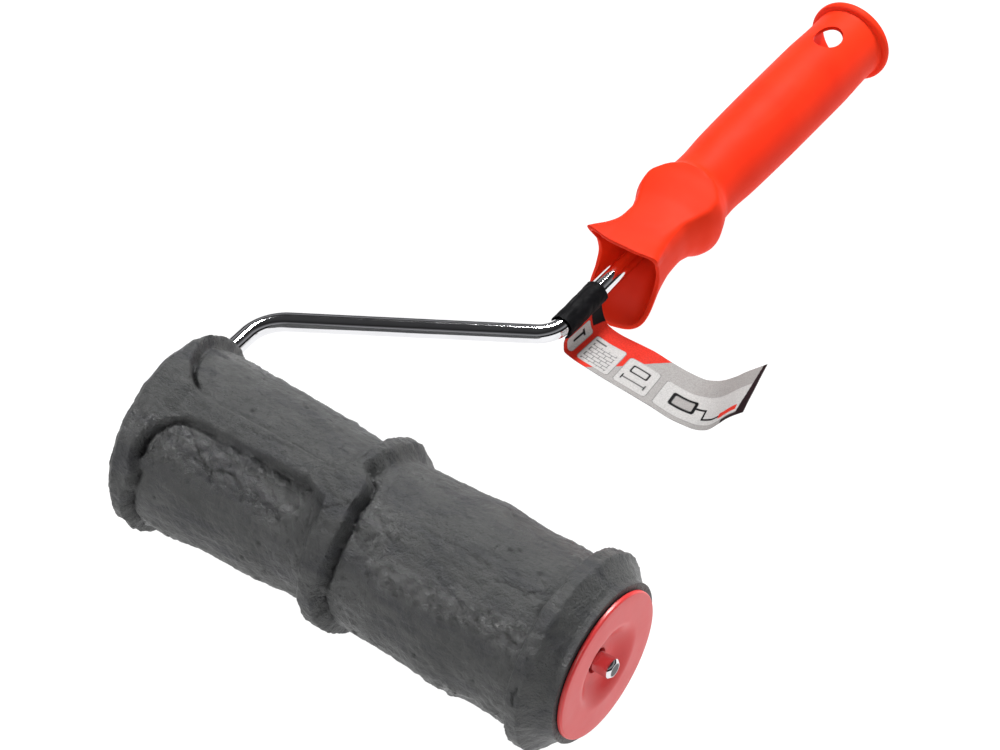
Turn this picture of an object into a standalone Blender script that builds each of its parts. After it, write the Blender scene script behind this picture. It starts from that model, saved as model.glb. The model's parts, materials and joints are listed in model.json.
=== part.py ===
"""Texture roller: a stone-patterned rubber sleeve on a single-arm wire frame with a moulded handle.

The roller's axle runs along X, its free end towards +X. The handle points to +Y, and +Z is up.
The tool lies at rest on its sleeve and on the flange of its handle, so its frame is tilted about X.
Sizes are in millimetres; MM turns them into metres.
"""

import math

import bmesh
import bpy
from mathutils import Matrix, Vector

MM = 0.001

# Driving dimensions
GAP = 0.3
ROD_R = 4.0
ROLLER_LENGTH = 200.6
BODY_R = 34.3
END_RING_R = 40.5
MIDDLE_RING_R = 38.8
CORE_OUTER_R = 24.0
CORE_INNER_R = 22.0
CAP_R = 29.5
HANDLE_X = -11.0
HANDLE_END_Y = 358.4
FLANGE_R = 18.7

# Roller, along its axle from the middle
CAP_PLANE_X = ROLLER_LENGTH / 2
CAP_RIM = 2.0
SLEEVE_END_X = CAP_PLANE_X - CAP_RIM - GAP
SLEEVE_BORE_R = CORE_OUTER_R + GAP
NEAR_SEAT_R = 32.0
RING_CENTRES = {"far": -94.0, "middle": -4.9, "near": 86.2}
RING_RADII = {"far": END_RING_R, "middle": MIDDLE_RING_R, "near": END_RING_R}
RING_HALF_TOP = 3.4
RING_HALF_BASE = 8.6
FAR_END_DROP = 2.0
NEAR_FLANK_END = 94.5
CROSS_RIDGE_R = 37.6
CROSS_RIDGE_TOP = 8.0
CROSS_RIDGE_BASE = 14.0
# Direction of each cross ridge round the axle, from +Y towards +Z
CROSS_RIDGE_ANGLES = {"far": 102.8, "near": 282.8}

# End caps
CAP_WALL = 1.8
DISH_R = 17.5
DISH_DEPTH = 4.6
DISH_FLOOR_R = 9.0
CAP_HOLE_R = 5.0
SKIRT_R = CORE_INNER_R - GAP
SKIRT_LENGTH = 14.0
HUB_OUTER_R = 9.0
HUB_BORE_R = 7.0
HUB_LENGTH = 20.0

# Bearing stack inside the outer hub, and on the arm's side of the inner cap
BUSH_R = HUB_BORE_R - GAP
BUSH_BORE_R = ROD_R + GAP
BUSH_LENGTH = 12.0
WASHER_R = 6.4
WASHER_THICKNESS = 0.8
CLIP_R = 6.0
CLIP_THICKNESS = 0.9
CLIP_BORE_R = 3.7
GROOVE_R = 3.4
COLLAR_R = 6.5
COLLAR_THICKNESS = 1.6

# Rod frame, as the corners of its centre line in the frame's own plane
ROD_TIP_X = 103.2
ROD_CHAMFER = 0.9
INNER_CORNER = (-107.0, 0.0)
ARM_CORNER = (-107.0, 67.0)
STEM_CORNER = (HANDLE_X, 128.4)
STEM_END_Y = 304.0
AXLE_BEND_R = 8.0
ARM_BEND_R = 19.0
STEM_BEND_R = 13.0

# Handle sections: y, half width, depth below the axis, height above it,
# facet height at its edges, facet crown, power of the section's superellipse
HANDLE_SECTIONS = (
    (170.0, 16.2, 28.3, 18.0, 12.9, 0.2, 3.3),
    (177.0, 15.4, 26.0, 16.7, 12.0, 0.4, 3.9),
    (186.0, 14.3, 20.6, 15.0, 10.8, 0.8, 2.8),
    (194.0, 13.8, 16.8, 14.6, 9.9, 1.2, 2.4),
    (202.0, 13.9, 15.6, 14.6, 9.4, 1.6, 2.3),
    (209.0, 15.3, 17.2, 16.2, 9.5, 2.2, 2.3),
    (216.0, 18.0, 20.0, 18.8, 10.4, 2.9, 2.3),
    (221.0, 18.9, 21.2, 19.8, 11.3, 3.4, 2.3),
    (226.0, 17.8, 19.8, 19.0, 12.2, 3.8, 2.2),
    (233.0, 15.3, 16.2, 15.6, 16.0, 4.0, 2.0),
    (241.0, 14.6, 14.8, 14.7, 30.0, 0.0, 2.0),
    (256.0, 15.5, 15.6, 15.5, 30.0, 0.0, 2.0),
    (290.0, 16.2, 16.2, 16.2, 30.0, 0.0, 2.0),
    (325.0, 16.7, 16.7, 16.7, 30.0, 0.0, 2.0),
    (347.0, 16.1, 16.1, 16.1, 30.0, 0.0, 2.0),
    (370.0, 16.1, 16.1, 16.1, 30.0, 0.0, 2.0),
)
# The mouth's edge: angle from the axis plane towards +Z, and y
MOUTH_EDGE = (
    (-90.0, 171.0),
    (-72.0, 172.8),
    (-48.0, 177.2),
    (-33.0, 180.8),
    (-10.0, 182.4),
    (20.0, 180.6),
    (36.0, 177.6),
    (60.0, 176.6),
    (90.0, 176.4),
)
MOUTH_BLEND_Y = 200.0
MOUTH_RINGS = 9
HANDLE_SIDES = 40
EAR_ANGLE = 36.0
EAR_SPREAD = 13.0
EAR_SIZE = 0.22
EAR_END_Y = 196.0
LIP_WALL = 1.8
CAVITY_WALL = 2.4
CAVITY_END_Y = 306.0
WEB_END_Y = 309.0
BUTT_BORE_R = 14.4
SOCKET_R = 7.0
SOCKET_START_Y = 228.0
RIB_THICKNESS = 2.2
FLANGE_START_Y = 354.0
FLANGE_ROUND = 1.6
HANG_HOLE_Y = 335.0
HANG_HOLE_HALF_WIDTH = 5.7
HANG_HOLE_HALF_LENGTH = 7.6

# Label
LABEL_WIDTH = 25.0
LABEL_START_Y = 134.0
LABEL_THICKNESS = 0.6
# The flag's path beside the stem, as x from the stem and z
LABEL_ROUTE = (
    (2.4, -5.4),
    (3.8, -10.5),
    (8.0, -14.2),
    (16.0, -16.0),
    (28.0, -17.0),
    (40.0, -18.4),
    (52.0, -19.2),
    (59.0, -17.9),
    (65.5, -13.2),
    (72.0, -5.6),
    (81.2, 4.6),
)

STEPS = 48
ALONG_Y = Matrix.Rotation(math.radians(90.0), 3, "X")


def clear_scene():
    for obj in list(bpy.data.objects):
        bpy.data.objects.remove(obj, do_unlink=True)


def new_collection(name):
    collection = bpy.data.collections.new(name)
    bpy.context.scene.collection.children.link(collection)
    return collection


def material(name, colour, roughness, metallic=0.0):
    made = bpy.data.materials.new(name)
    made.use_nodes = True
    shader = made.node_tree.nodes["Principled BSDF"]
    shader.inputs["Base Color"].default_value = (*colour, 1.0)
    shader.inputs["Roughness"].default_value = roughness
    shader.inputs["Metallic"].default_value = metallic
    return made


def empty(name, location, tilt=0.0):
    made = bpy.data.objects.new(name, None)
    made.location = location
    made.rotation_euler = (tilt, 0.0, 0.0)
    PARTS.objects.link(made)
    return made


def finish_part(obj, look, parent):
    obj.data.materials.clear()
    obj.data.materials.append(look)
    obj.parent = parent
    return obj


def mesh_object(name, mesh, collection):
    obj = bpy.data.objects.new(name, mesh)
    collection.objects.link(obj)
    return obj


def as_cutter(obj, parent=None):
    for other in list(obj.users_collection):
        other.objects.unlink(obj)
    CUTTERS.objects.link(obj)
    obj.hide_render = True
    obj.display_type = "WIRE"
    obj.parent = parent
    return obj


def boolean(obj, operation, tool):
    modifier = obj.modifiers.new(tool.name, "BOOLEAN")
    modifier.operation = operation
    modifier.object = tool
    return modifier


def turned(name, outline, collection, steps=STEPS):
    """A solid of revolution about X. The outline is (radius, x) in mm: down the outer side, then back up inside."""
    mesh = bpy.data.meshes.new(name)
    points = [(radius * MM, 0.0, x * MM) for radius, x in outline]
    edges = [(i, (i + 1) % len(points)) for i in range(len(points))]
    mesh.from_pydata(points, edges, [])
    obj = mesh_object(name, mesh, collection)
    screw = obj.modifiers.new("Turn", "SCREW")
    screw.axis = "Z"
    screw.angle = math.tau
    screw.steps = steps
    screw.render_steps = steps
    screw.use_merge_vertices = True
    screw.merge_threshold = 0.00001
    screw.use_smooth_shade = True
    obj.rotation_euler = (0.0, math.radians(90.0), 0.0)
    return obj


def ring(name, x_low, x_high, inner_r, outer_r, collection, steps=20):
    """A plain washer, bush or tube along X."""
    outline = [(outer_r, x_high), (outer_r, x_low), (inner_r, x_low), (inner_r, x_high)]
    return turned(name, outline, collection, steps)


def to_mesh(obj):
    """Replaces a curve object by the closed mesh that it makes."""
    graph = bpy.context.evaluated_depsgraph_get()
    mesh = bpy.data.meshes.new_from_object(obj.evaluated_get(graph))
    work = bmesh.new()
    work.from_mesh(mesh)
    bmesh.ops.remove_doubles(work, verts=work.verts, dist=0.00001)
    work.to_mesh(mesh)
    work.free()
    name, world = obj.name, obj.matrix_world.copy()
    collection = obj.users_collection[0]
    bpy.data.objects.remove(obj, do_unlink=True)
    made = mesh_object(name, mesh, collection)
    made.matrix_world = world
    return made


def smoothstep(value, start, end):
    share = min(max((value - start) / (end - start), 0.0), 1.0)
    return share * share * (3.0 - 2.0 * share)


def through(points, at):
    """A smooth curve through (position, value) points that doesn't overshoot them, read at one position."""
    if at <= points[0][0]:
        return points[0][1]
    if at >= points[-1][0]:
        return points[-1][1]
    slopes = [(b[1] - a[1]) / (b[0] - a[0]) for a, b in zip(points, points[1:])]
    tangents = [slopes[0]]
    for before, after in zip(slopes, slopes[1:]):
        flat = before * after <= 0.0
        tangents.append(0.0 if flat else 2.0 * before * after / (before + after))
    tangents.append(slopes[-1])
    i = max(k for k, point in enumerate(points[:-1]) if point[0] <= at)
    (x0, y0), (x1, y1) = points[i], points[i + 1]
    width = x1 - x0
    t = (at - x0) / width
    return (
        y0 * (1 + 2 * t) * (1 - t) ** 2
        + tangents[i] * width * t * (1 - t) ** 2
        + y1 * t * t * (3 - 2 * t)
        + tangents[i + 1] * width * t * t * (t - 1)
    )


# ---- Roller ----


def sleeve_radius(x):
    """Outer radius of the sleeve without its cross ridges."""
    nearest = min(RING_CENTRES, key=lambda name: abs(x - RING_CENTRES[name]))
    centre, crest = RING_CENTRES[nearest], RING_RADII[nearest]
    if x > RING_CENTRES["near"]:
        return crest - (crest - NEAR_SEAT_R) * smoothstep(x, centre + RING_HALF_TOP, NEAR_FLANK_END)
    if x < RING_CENTRES["far"]:
        return crest - FAR_END_DROP * smoothstep(-x, -centre, SLEEVE_END_X)
    return crest - (crest - BODY_R) * smoothstep(abs(x - centre), RING_HALF_TOP, RING_HALF_BASE)


def sleeve_stations():
    """Where the sleeve's outline bends: its ends and both flanks of each ring."""
    flank = RING_HALF_BASE - RING_HALF_TOP
    offsets = [RING_HALF_TOP + flank * share for share in (0.0, 0.3, 0.6, 1.0)]
    stations = [SLEEVE_END_X, NEAR_FLANK_END, -SLEEVE_END_X]
    for centre in RING_CENTRES.values():
        stations += [centre + side * offset for side in (-1, 1) for offset in offsets]
    return sorted((x for x in stations if abs(x) <= SLEEVE_END_X), reverse=True)


def texture_sleeve():
    outline = [(sleeve_radius(x), x) for x in sleeve_stations()]
    outline += [(SLEEVE_BORE_R, -SLEEVE_END_X), (SLEEVE_BORE_R, SLEEVE_END_X)]
    sleeve = turned("texture_sleeve", outline, PARTS)
    for name, angle in CROSS_RIDGE_ANGLES.items():
        boolean(sleeve, "UNION", cross_ridge(name, angle))
    return sleeve


def cross_ridge(name, angle):
    """A bar with sloping sides that joins the middle ring to another, its inner half buried in the sleeve."""
    ends = (RING_CENTRES["middle"], RING_CENTRES[name])
    crown = CROSS_RIDGE_R * math.cos(CROSS_RIDGE_TOP / 2 / CROSS_RIDGE_R)
    outline = [
        (-CROSS_RIDGE_BASE / 2, BODY_R - 4.0),
        (-CROSS_RIDGE_BASE / 2, BODY_R - 1.6),
        (-CROSS_RIDGE_TOP / 2, crown),
        (0.0, CROSS_RIDGE_R),
        (CROSS_RIDGE_TOP / 2, crown),
        (CROSS_RIDGE_BASE / 2, BODY_R - 1.6),
        (CROSS_RIDGE_BASE / 2, BODY_R - 4.0),
    ]
    bar = flat_outline("cross_ridge_" + name, [outline], max(ends) - min(ends), CUTTERS)
    direction = math.radians(angle)
    out = Vector((0.0, math.cos(direction), math.sin(direction)))
    along = Vector((1.0, 0.0, 0.0))
    placed = Matrix((out.cross(along), out, along)).transposed().to_4x4()
    placed.translation = Vector((sum(ends) / 2 * MM, 0.0, 0.0))
    bar.matrix_world = placed
    return as_cutter(to_mesh(bar), roller_axis)


def flat_outline(name, outlines, thickness, collection):
    """A plate with these closed outlines in mm, the first outside and the others holes, centred on its plane."""
    curve = bpy.data.curves.new(name, "CURVE")
    curve.dimensions = "2D"
    curve.fill_mode = "BOTH"
    curve.extrude = thickness / 2 * MM
    for outline in outlines:
        spline = curve.splines.new("POLY")
        spline.points.add(len(outline) - 1)
        for point, (u, v) in zip(spline.points, outline):
            point.co = (u * MM, v * MM, 0.0, 1.0)
        spline.use_cyclic_u = True
    obj = bpy.data.objects.new(name, curve)
    collection.objects.link(obj)
    return obj


def core_tube():
    return ring("core_tube", -SLEEVE_END_X, SLEEVE_END_X, CORE_INNER_R, CORE_OUTER_R, PARTS, STEPS)


def dish_depth(radius):
    """How far the cap's dished face lies behind its rim plane at a radius."""
    return DISH_DEPTH * (1.0 - smoothstep(radius, DISH_FLOOR_R, DISH_R))


def cap_outline():
    """The outer cap: rim, skirt in the core tube, hub with its bore, dished face. x is its place on the roller."""
    face = [(CAP_HOLE_R, CAP_PLANE_X - DISH_DEPTH)]
    face += [(r, CAP_PLANE_X - dish_depth(r)) for r in (9.0, 11.0, 13.2, 15.4, DISH_R)]
    floor_back = CAP_PLANE_X - DISH_DEPTH - CAP_WALL
    back = CAP_PLANE_X - CAP_RIM
    outline = face + [(CAP_R - 0.6, CAP_PLANE_X), (CAP_R, CAP_PLANE_X - 0.6)]
    outline += [(CAP_R, back), (SKIRT_R, back), (SKIRT_R, back - SKIRT_LENGTH)]
    outline += [(SKIRT_R - CAP_WALL, back - SKIRT_LENGTH), (SKIRT_R - CAP_WALL, back - 1.2)]
    outline += [(DISH_R, back - 1.2)]
    outline += [(DISH_FLOOR_R + 1.5, floor_back - 0.6), (HUB_OUTER_R, floor_back - 1.6)]
    outline += [(HUB_OUTER_R, floor_back - HUB_LENGTH), (HUB_BORE_R, floor_back - HUB_LENGTH)]
    outline += [(HUB_BORE_R, floor_back), (CAP_HOLE_R, floor_back)]
    return outline


def end_cap(name, side):
    outline = cap_outline()
    if side < 0:
        outline = [(radius, -x) for radius, x in reversed(outline)]
    return turned(name, outline, PARTS)


def bush_span():
    """Low and high x of the bush in the outer hub."""
    high = CAP_PLANE_X - DISH_DEPTH - CAP_WALL - 5.0
    return high - BUSH_LENGTH, high


def bearing_bush(name, side):
    low, high = bush_span()
    ends = (low, high) if side > 0 else (-high, -low)
    return ring(name, *ends, BUSH_BORE_R, BUSH_R, PARTS)


# ---- Rod frame ----


def rounded_path(corners, radii, steps):
    """Points along straight runs joined by tangent arcs, in the frame's plane."""
    path = [Vector(corners[0])]
    for before, corner, after, radius in zip(corners, corners[1:], corners[2:], radii):
        corner = Vector(corner)
        back = (Vector(before) - corner).normalized()
        ahead = (Vector(after) - corner).normalized()
        half = back.angle(ahead) / 2
        centre = corner + (back + ahead).normalized() * (radius / math.sin(half))
        first = corner + back * (radius / math.tan(half)) - centre
        last = corner + ahead * (radius / math.tan(half)) - centre
        for i in range(steps + 1):
            direction = first.slerp(last, i / steps).normalized()
            path.append(centre + direction * radius)
    path.append(Vector(corners[-1]))
    return path


def frame_rod(parent):
    corners = [(ROD_TIP_X, 0.0), INNER_CORNER, ARM_CORNER, STEM_CORNER, (HANDLE_X, STEM_END_Y)]
    path = rounded_path(corners, (AXLE_BEND_R, ARM_BEND_R, STEM_BEND_R), 8)
    curve = bpy.data.curves.new("frame_rod", "CURVE")
    curve.dimensions = "3D"
    curve.bevel_depth = ROD_R * MM
    curve.bevel_resolution = 6
    curve.use_fill_caps = True
    spline = curve.splines.new("POLY")
    spline.points.add(len(path) - 1)
    for point, place in zip(spline.points, path):
        point.co = (place.x * MM, place.y * MM, 0.0, 1.0)
    rod = bpy.data.objects.new("frame_rod", curve)
    PARTS.objects.link(rod)
    rod = to_mesh(rod)
    low, high = clip_span()
    groove = ring("clip_groove", low - GAP, high + GAP, GROOVE_R, ROD_R + 2.0, CUTTERS)
    boolean(rod, "DIFFERENCE", as_cutter(groove, parent))
    boolean(rod, "DIFFERENCE", as_cutter(tip_chamfer(), parent))
    return rod


def tip_chamfer():
    start = ROD_TIP_X - ROD_CHAMFER
    outline = [(ROD_R + 2.0, ROD_TIP_X + 1.0), (ROD_R + 2.0, start - 2.0), (ROD_R + 0.3, start - 0.3)]
    outline += [(ROD_R - ROD_CHAMFER - 1.0, ROD_TIP_X + 1.0)]
    return turned("tip_chamfer", outline, CUTTERS, 24)


def washer_span():
    low = bush_span()[1] + GAP
    return low, low + WASHER_THICKNESS


def clip_span():
    low = washer_span()[1] + GAP
    return low, low + CLIP_THICKNESS


def dish_floor_x():
    return -(CAP_PLANE_X - DISH_DEPTH)


def inner_washer_span():
    high = dish_floor_x() - GAP
    return high - WASHER_THICKNESS, high


def collar_span():
    high = inner_washer_span()[0] - GAP
    return high - COLLAR_THICKNESS, high


# ---- Handle ----


def rim_y(angle):
    """The mouth's edge isn't flat: its sides are set back and its lower lip reaches forward."""
    return through(MOUTH_EDGE, math.degrees(math.asin(math.sin(angle))))


def section_value(column, y):
    return through([(row[0], row[column]) for row in HANDLE_SECTIONS], y)


def ear(angle, y):
    """How much the two upper corners of the mouth reach out."""
    degrees = math.degrees(angle) % 360
    near = min(abs(degrees - EAR_ANGLE), abs(degrees - (180 - EAR_ANGLE)))
    fade = 1.0 - smoothstep(y, 174.0, EAR_END_Y)
    return 1.0 + EAR_SIZE * fade * math.exp(-((near / EAR_SPREAD) ** 2))


def handle_reach(angle, y, inset=0.0):
    """Distance from the handle's axis to its surface at an angle, from +X towards +Z."""
    half_width, below, above, facet = (section_value(i, y) - inset for i in range(1, 5))
    crown, power = section_value(5, y), section_value(6, y)
    cosine, sine = math.cos(angle), math.sin(angle)
    height = above if sine > 0 else below
    reach = (abs(cosine / half_width) ** power + abs(sine / height) ** power) ** (-1.0 / power)
    reach *= ear(angle, y)
    if sine > 0.05:
        curve = crown * (cosine / half_width) ** 2
        top = facet + crown
        cut = top / sine
        if curve > 1e-9:
            cut = (math.sqrt(sine * sine + 4 * curve * top) - sine) / (2 * curve)
        reach = soft_min(reach, cut, 1.2)
    return reach


def soft_min(a, b, width):
    share = min(max(0.5 + (b - a) / (2 * width), 0.0), 1.0)
    return b * (1 - share) + a * share - width * share * (1 - share) * 0.5


def handle_ys():
    """Stations behind the mouth's blend, closer together round the guard."""
    stations = [MOUTH_BLEND_Y + 3.5 * i for i in range(1, 13)]
    stations += [252.0, 270.0, 290.0, 310.0, 330.0, 345.0]
    return stations


def loft(name, rings, collection):
    """A closed solid through rings with the same number of points, first ring to last ring."""
    work = bmesh.new()
    loops = [[work.verts.new(Vector(point) * MM) for point in points] for points in rings]
    for before, after in zip(loops, loops[1:]):
        count = len(before)
        for i in range(count):
            j = (i + 1) % count
            work.faces.new((before[i], before[j], after[j], after[i]))
    work.faces.new(list(reversed(loops[0])))
    work.faces.new(loops[-1])
    bmesh.ops.recalc_face_normals(work, faces=work.faces)
    mesh = bpy.data.meshes.new(name)
    work.to_mesh(mesh)
    work.free()
    mesh.shade_smooth()
    return mesh_object(name, mesh, collection)


def section_points(station, inset=0.0, forward=0.0, sides=HANDLE_SIDES):
    """One ring of the handle. A station is a y, or a share from the mouth's rim back to the blend."""
    points = []
    for i in range(sides):
        angle = math.tau * i / sides
        y = station
        if station <= 1.0:
            start = rim_y(angle) - forward
            y = start + (MOUTH_BLEND_Y - start) * station
        reach = handle_reach(angle, y, inset)
        points.append((HANDLE_X + reach * math.cos(angle), y, reach * math.sin(angle)))
    return points


def circle_points(y, radius, sides=HANDLE_SIDES):
    angles = [math.tau * i / sides for i in range(sides)]
    return [(HANDLE_X + radius * math.cos(a), y, radius * math.sin(a)) for a in angles]


def handle_body(parent):
    rings = [section_points(i / MOUTH_RINGS) for i in range(MOUTH_RINGS + 1)]
    rings += [section_points(y) for y in handle_ys()]
    rings += [circle_points(y, radius) for y, radius in flange_outline()]
    handle = loft("handle_body", rings, PARTS)
    for cutter in (mouth_cavity(parent), butt_bore(), stem_bore(), hang_hole()):
        boolean(handle, "DIFFERENCE", as_cutter(cutter, parent))
    return handle


def flange_outline():
    """(y, radius) of the flange: a small fillet, then a rim rounded on both edges."""
    neck = section_value(1, FLANGE_START_Y)
    points = [(FLANGE_START_Y - 1.5, neck), (FLANGE_START_Y, neck + 0.5)]
    turns = [math.radians(30.0 * i) for i in range(4)]
    front = FLANGE_START_Y + 0.8
    for turn in turns:
        y = front + FLANGE_ROUND * (1 - math.cos(turn))
        points.append((y, FLANGE_R - FLANGE_ROUND * (1 - math.sin(turn))))
    for turn in turns:
        y = HANDLE_END_Y - FLANGE_ROUND * (1 - math.sin(turn))
        points.append((y, FLANGE_R - FLANGE_ROUND * (1 - math.cos(turn))))
    return points


def mouth_cavity(parent):
    """The hollow behind the mouth, less the socket and the ribs that hold the rod's stem."""
    sides = 32
    rings = [section_points(i / 5, LIP_WALL, 4.0, sides) for i in range(6)]
    for y in (206.0, 212.0, 218.0, 224.0, 232.0):
        rings.append(section_points(y, LIP_WALL + 0.5, 0.0, sides))
    for y in (244.0, 270.0, CAVITY_END_Y):
        rings.append(circle_points(y, section_value(1, y) - CAVITY_WALL, sides))
    cavity = loft("mouth_cavity", rings, CUTTERS)
    keep_end = CAVITY_END_Y + 4.0
    length = keep_end - SOCKET_START_Y
    centre = (HANDLE_X, SOCKET_START_Y + length / 2, 0.0)
    keeps = [
        rod_shape("socket_keep", SOCKET_R, SOCKET_R, length, ALONG_Y, centre, 24),
        box("rib_flat", (60.0, length, RIB_THICKNESS), centre),
        box("rib_upright", (RIB_THICKNESS, length, 60.0), centre),
    ]
    for keep in keeps:
        boolean(cavity, "DIFFERENCE", as_cutter(keep, parent))
    return cavity


def butt_bore():
    """The handle is open at its end, as far as the web that closes the mouth's hollow."""
    high = HANDLE_END_Y + 5.0
    centre = (HANDLE_X, (WEB_END_Y + high) / 2, 0.0)
    length = high - WEB_END_Y
    return rod_shape("butt_bore", BUTT_BORE_R, BUTT_BORE_R, length, ALONG_Y, centre, HANDLE_SIDES)


def box(name, size, centre):
    work = bmesh.new()
    bmesh.ops.create_cube(work, size=1.0)
    bmesh.ops.scale(work, vec=Vector(size) * MM, verts=work.verts)
    bmesh.ops.translate(work, vec=Vector(centre) * MM, verts=work.verts)
    mesh = bpy.data.meshes.new(name)
    work.to_mesh(mesh)
    work.free()
    return mesh_object(name, mesh, CUTTERS)


def rod_shape(name, radius_x, radius_y, length, rotation, centre, sides=24):
    """A straight round or oval bar."""
    work = bmesh.new()
    bmesh.ops.create_cone(work, cap_ends=True, segments=sides, radius1=1.0, radius2=1.0, depth=1.0)
    bmesh.ops.scale(work, vec=Vector((radius_x, radius_y, length)) * MM, verts=work.verts)
    bmesh.ops.rotate(work, matrix=rotation, verts=work.verts)
    bmesh.ops.translate(work, vec=Vector(centre) * MM, verts=work.verts)
    mesh = bpy.data.meshes.new(name)
    work.to_mesh(mesh)
    work.free()
    return mesh_object(name, mesh, CUTTERS)


def stem_bore():
    low, high = SOCKET_START_Y - 10.0, STEM_END_Y + 1.0
    centre = (HANDLE_X, (low + high) / 2, 0.0)
    radius = ROD_R + GAP
    return rod_shape("stem_bore", radius, radius, high - low, ALONG_Y, centre)


def hang_hole():
    centre = (HANDLE_X, HANG_HOLE_Y, 0.0)
    upright = Matrix.Identity(3)
    return rod_shape("hang_hole", HANG_HOLE_HALF_WIDTH, HANG_HOLE_HALF_LENGTH, 60.0, upright, centre)


# ---- Label ----


def label_route():
    """The flag's middle line, smooth through its route, as (x, z) from the stem's axis."""
    xs = [(i, point[0]) for i, point in enumerate(LABEL_ROUTE)]
    zs = [(i, point[1]) for i, point in enumerate(LABEL_ROUTE)]
    steps = 4 * (len(LABEL_ROUTE) - 1)
    return [Vector((through(xs, i / 4), through(zs, i / 4))) for i in range(steps + 1)]


def arc_points(radius, start, end, steps):
    angles = [start + (end - start) * i / steps for i in range(steps + 1)]
    return [(radius * math.cos(a), radius * math.sin(a)) for a in angles]


def label():
    """A printed strip: it goes once round the stem, and its two ends lie together as the flag."""
    route = label_route()
    half = LABEL_THICKNESS / 2
    inner_r = ROD_R + GAP
    outer_r = inner_r + LABEL_THICKNESS
    sides = []
    for i, point in enumerate(route):
        ahead = route[min(i + 1, len(route) - 1)] - route[max(i - 1, 0)]
        across = Vector((-ahead.y, ahead.x)).normalized() * half
        sides.append((point + across, point - across))
    above = [side[0] for side in sides if side[0].length > outer_r]
    below = [side[1] for side in sides if side[1].length > outer_r]
    start = math.atan2(above[0].y, above[0].x)
    end = math.atan2(below[0].y, below[0].x) + math.tau
    outer = arc_points(outer_r, start, end, 18)
    hole = arc_points(inner_r, 0.0, math.tau, 20)[:-1]
    outline = [tuple(point) for point in [*reversed(above), *outer, *below]]
    plate = flat_outline("label", [outline, hole], LABEL_WIDTH, PARTS)
    plate.rotation_euler = (math.radians(90.0), 0.0, 0.0)
    plate.location = (HANDLE_X * MM, (LABEL_START_Y + LABEL_WIDTH / 2) * MM, 0.0)
    bpy.context.view_layer.update()
    return to_mesh(plate)


# ---- Assembly ----


def resting_tilt():
    """How far the frame's plane turns about the axle for the handle's flange to touch the surface."""
    along = HANDLE_END_Y - FLANGE_ROUND
    across = FLANGE_R - FLANGE_ROUND
    drop = END_RING_R - FLANGE_ROUND
    return math.asin(drop / math.hypot(along, across)) - math.atan2(across, along)


def box_centre(tilt):
    """Middle of the whole tool's box in x and y, from the axle's middle."""
    low_x = INNER_CORNER[0] - ROD_R
    high_x = ROD_TIP_X
    high_y = HANDLE_END_Y * math.cos(tilt) + (FLANGE_R - FLANGE_ROUND) * math.sin(tilt)
    return (low_x + high_x) / 2, (high_y - END_RING_R) / 2


clear_scene()
PARTS = new_collection("texture_roller")
CUTTERS = new_collection("cutters")

RUBBER = material("rubber_grey", (0.075, 0.078, 0.080), 0.55)
CORE = material("core_plastic", (0.70, 0.70, 0.68), 0.5)
RED = material("red_plastic", (0.85, 0.035, 0.02), 0.38)
NYLON = material("nylon_white", (0.80, 0.79, 0.74), 0.45)
STEEL = material("spring_steel", (0.45, 0.45, 0.46), 0.35, 1.0)
CHROME = material("chrome", (0.78, 0.78, 0.80), 0.12, 1.0)
PAPER = material("label_paper", (0.75, 0.74, 0.72), 0.6)

TILT = resting_tilt()
CENTRE_X, CENTRE_Y = box_centre(TILT)
AXLE = (-CENTRE_X * MM, -CENTRE_Y * MM, END_RING_R * MM)
roller_axis = empty("roller_axis", AXLE)
frame_plane = empty("frame_plane", AXLE, -TILT)

finish_part(texture_sleeve(), RUBBER, roller_axis)
finish_part(core_tube(), CORE, roller_axis)
finish_part(end_cap("outer_end_cap", 1), RED, roller_axis)
finish_part(end_cap("inner_end_cap", -1), RED, roller_axis)
finish_part(bearing_bush("outer_bearing_bush", 1), NYLON, roller_axis)
finish_part(bearing_bush("inner_bearing_bush", -1), NYLON, roller_axis)

for name, span, bore_r, outer_r in (
    ("outer_thrust_washer", washer_span(), ROD_R + GAP, WASHER_R),
    ("retaining_clip", clip_span(), CLIP_BORE_R, CLIP_R),
    ("inner_thrust_washer", inner_washer_span(), ROD_R + GAP, WASHER_R),
    ("inner_stop_collar", collar_span(), ROD_R + GAP, COLLAR_R),
):
    finish_part(ring(name, *span, bore_r, outer_r, PARTS), STEEL, frame_plane)
finish_part(frame_rod(frame_plane), CHROME, frame_plane)
finish_part(handle_body(frame_plane), RED, frame_plane)
finish_part(label(), PAPER, frame_plane)
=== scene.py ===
"""Looks of the texture roller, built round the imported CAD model.

Shapes are worked out in millimetres in the tool's own frame, where the axle runs along X through the
origin and the handle's axis lies in the XY plane. TOOL turns that into the row frame in metres.
An angle round the axle is in degrees, from +Y towards +Z.
"""

import itertools
import json
import math
from functools import lru_cache

import bmesh
import bpy
import numpy as np
from mathutils import Matrix, Vector


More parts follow.
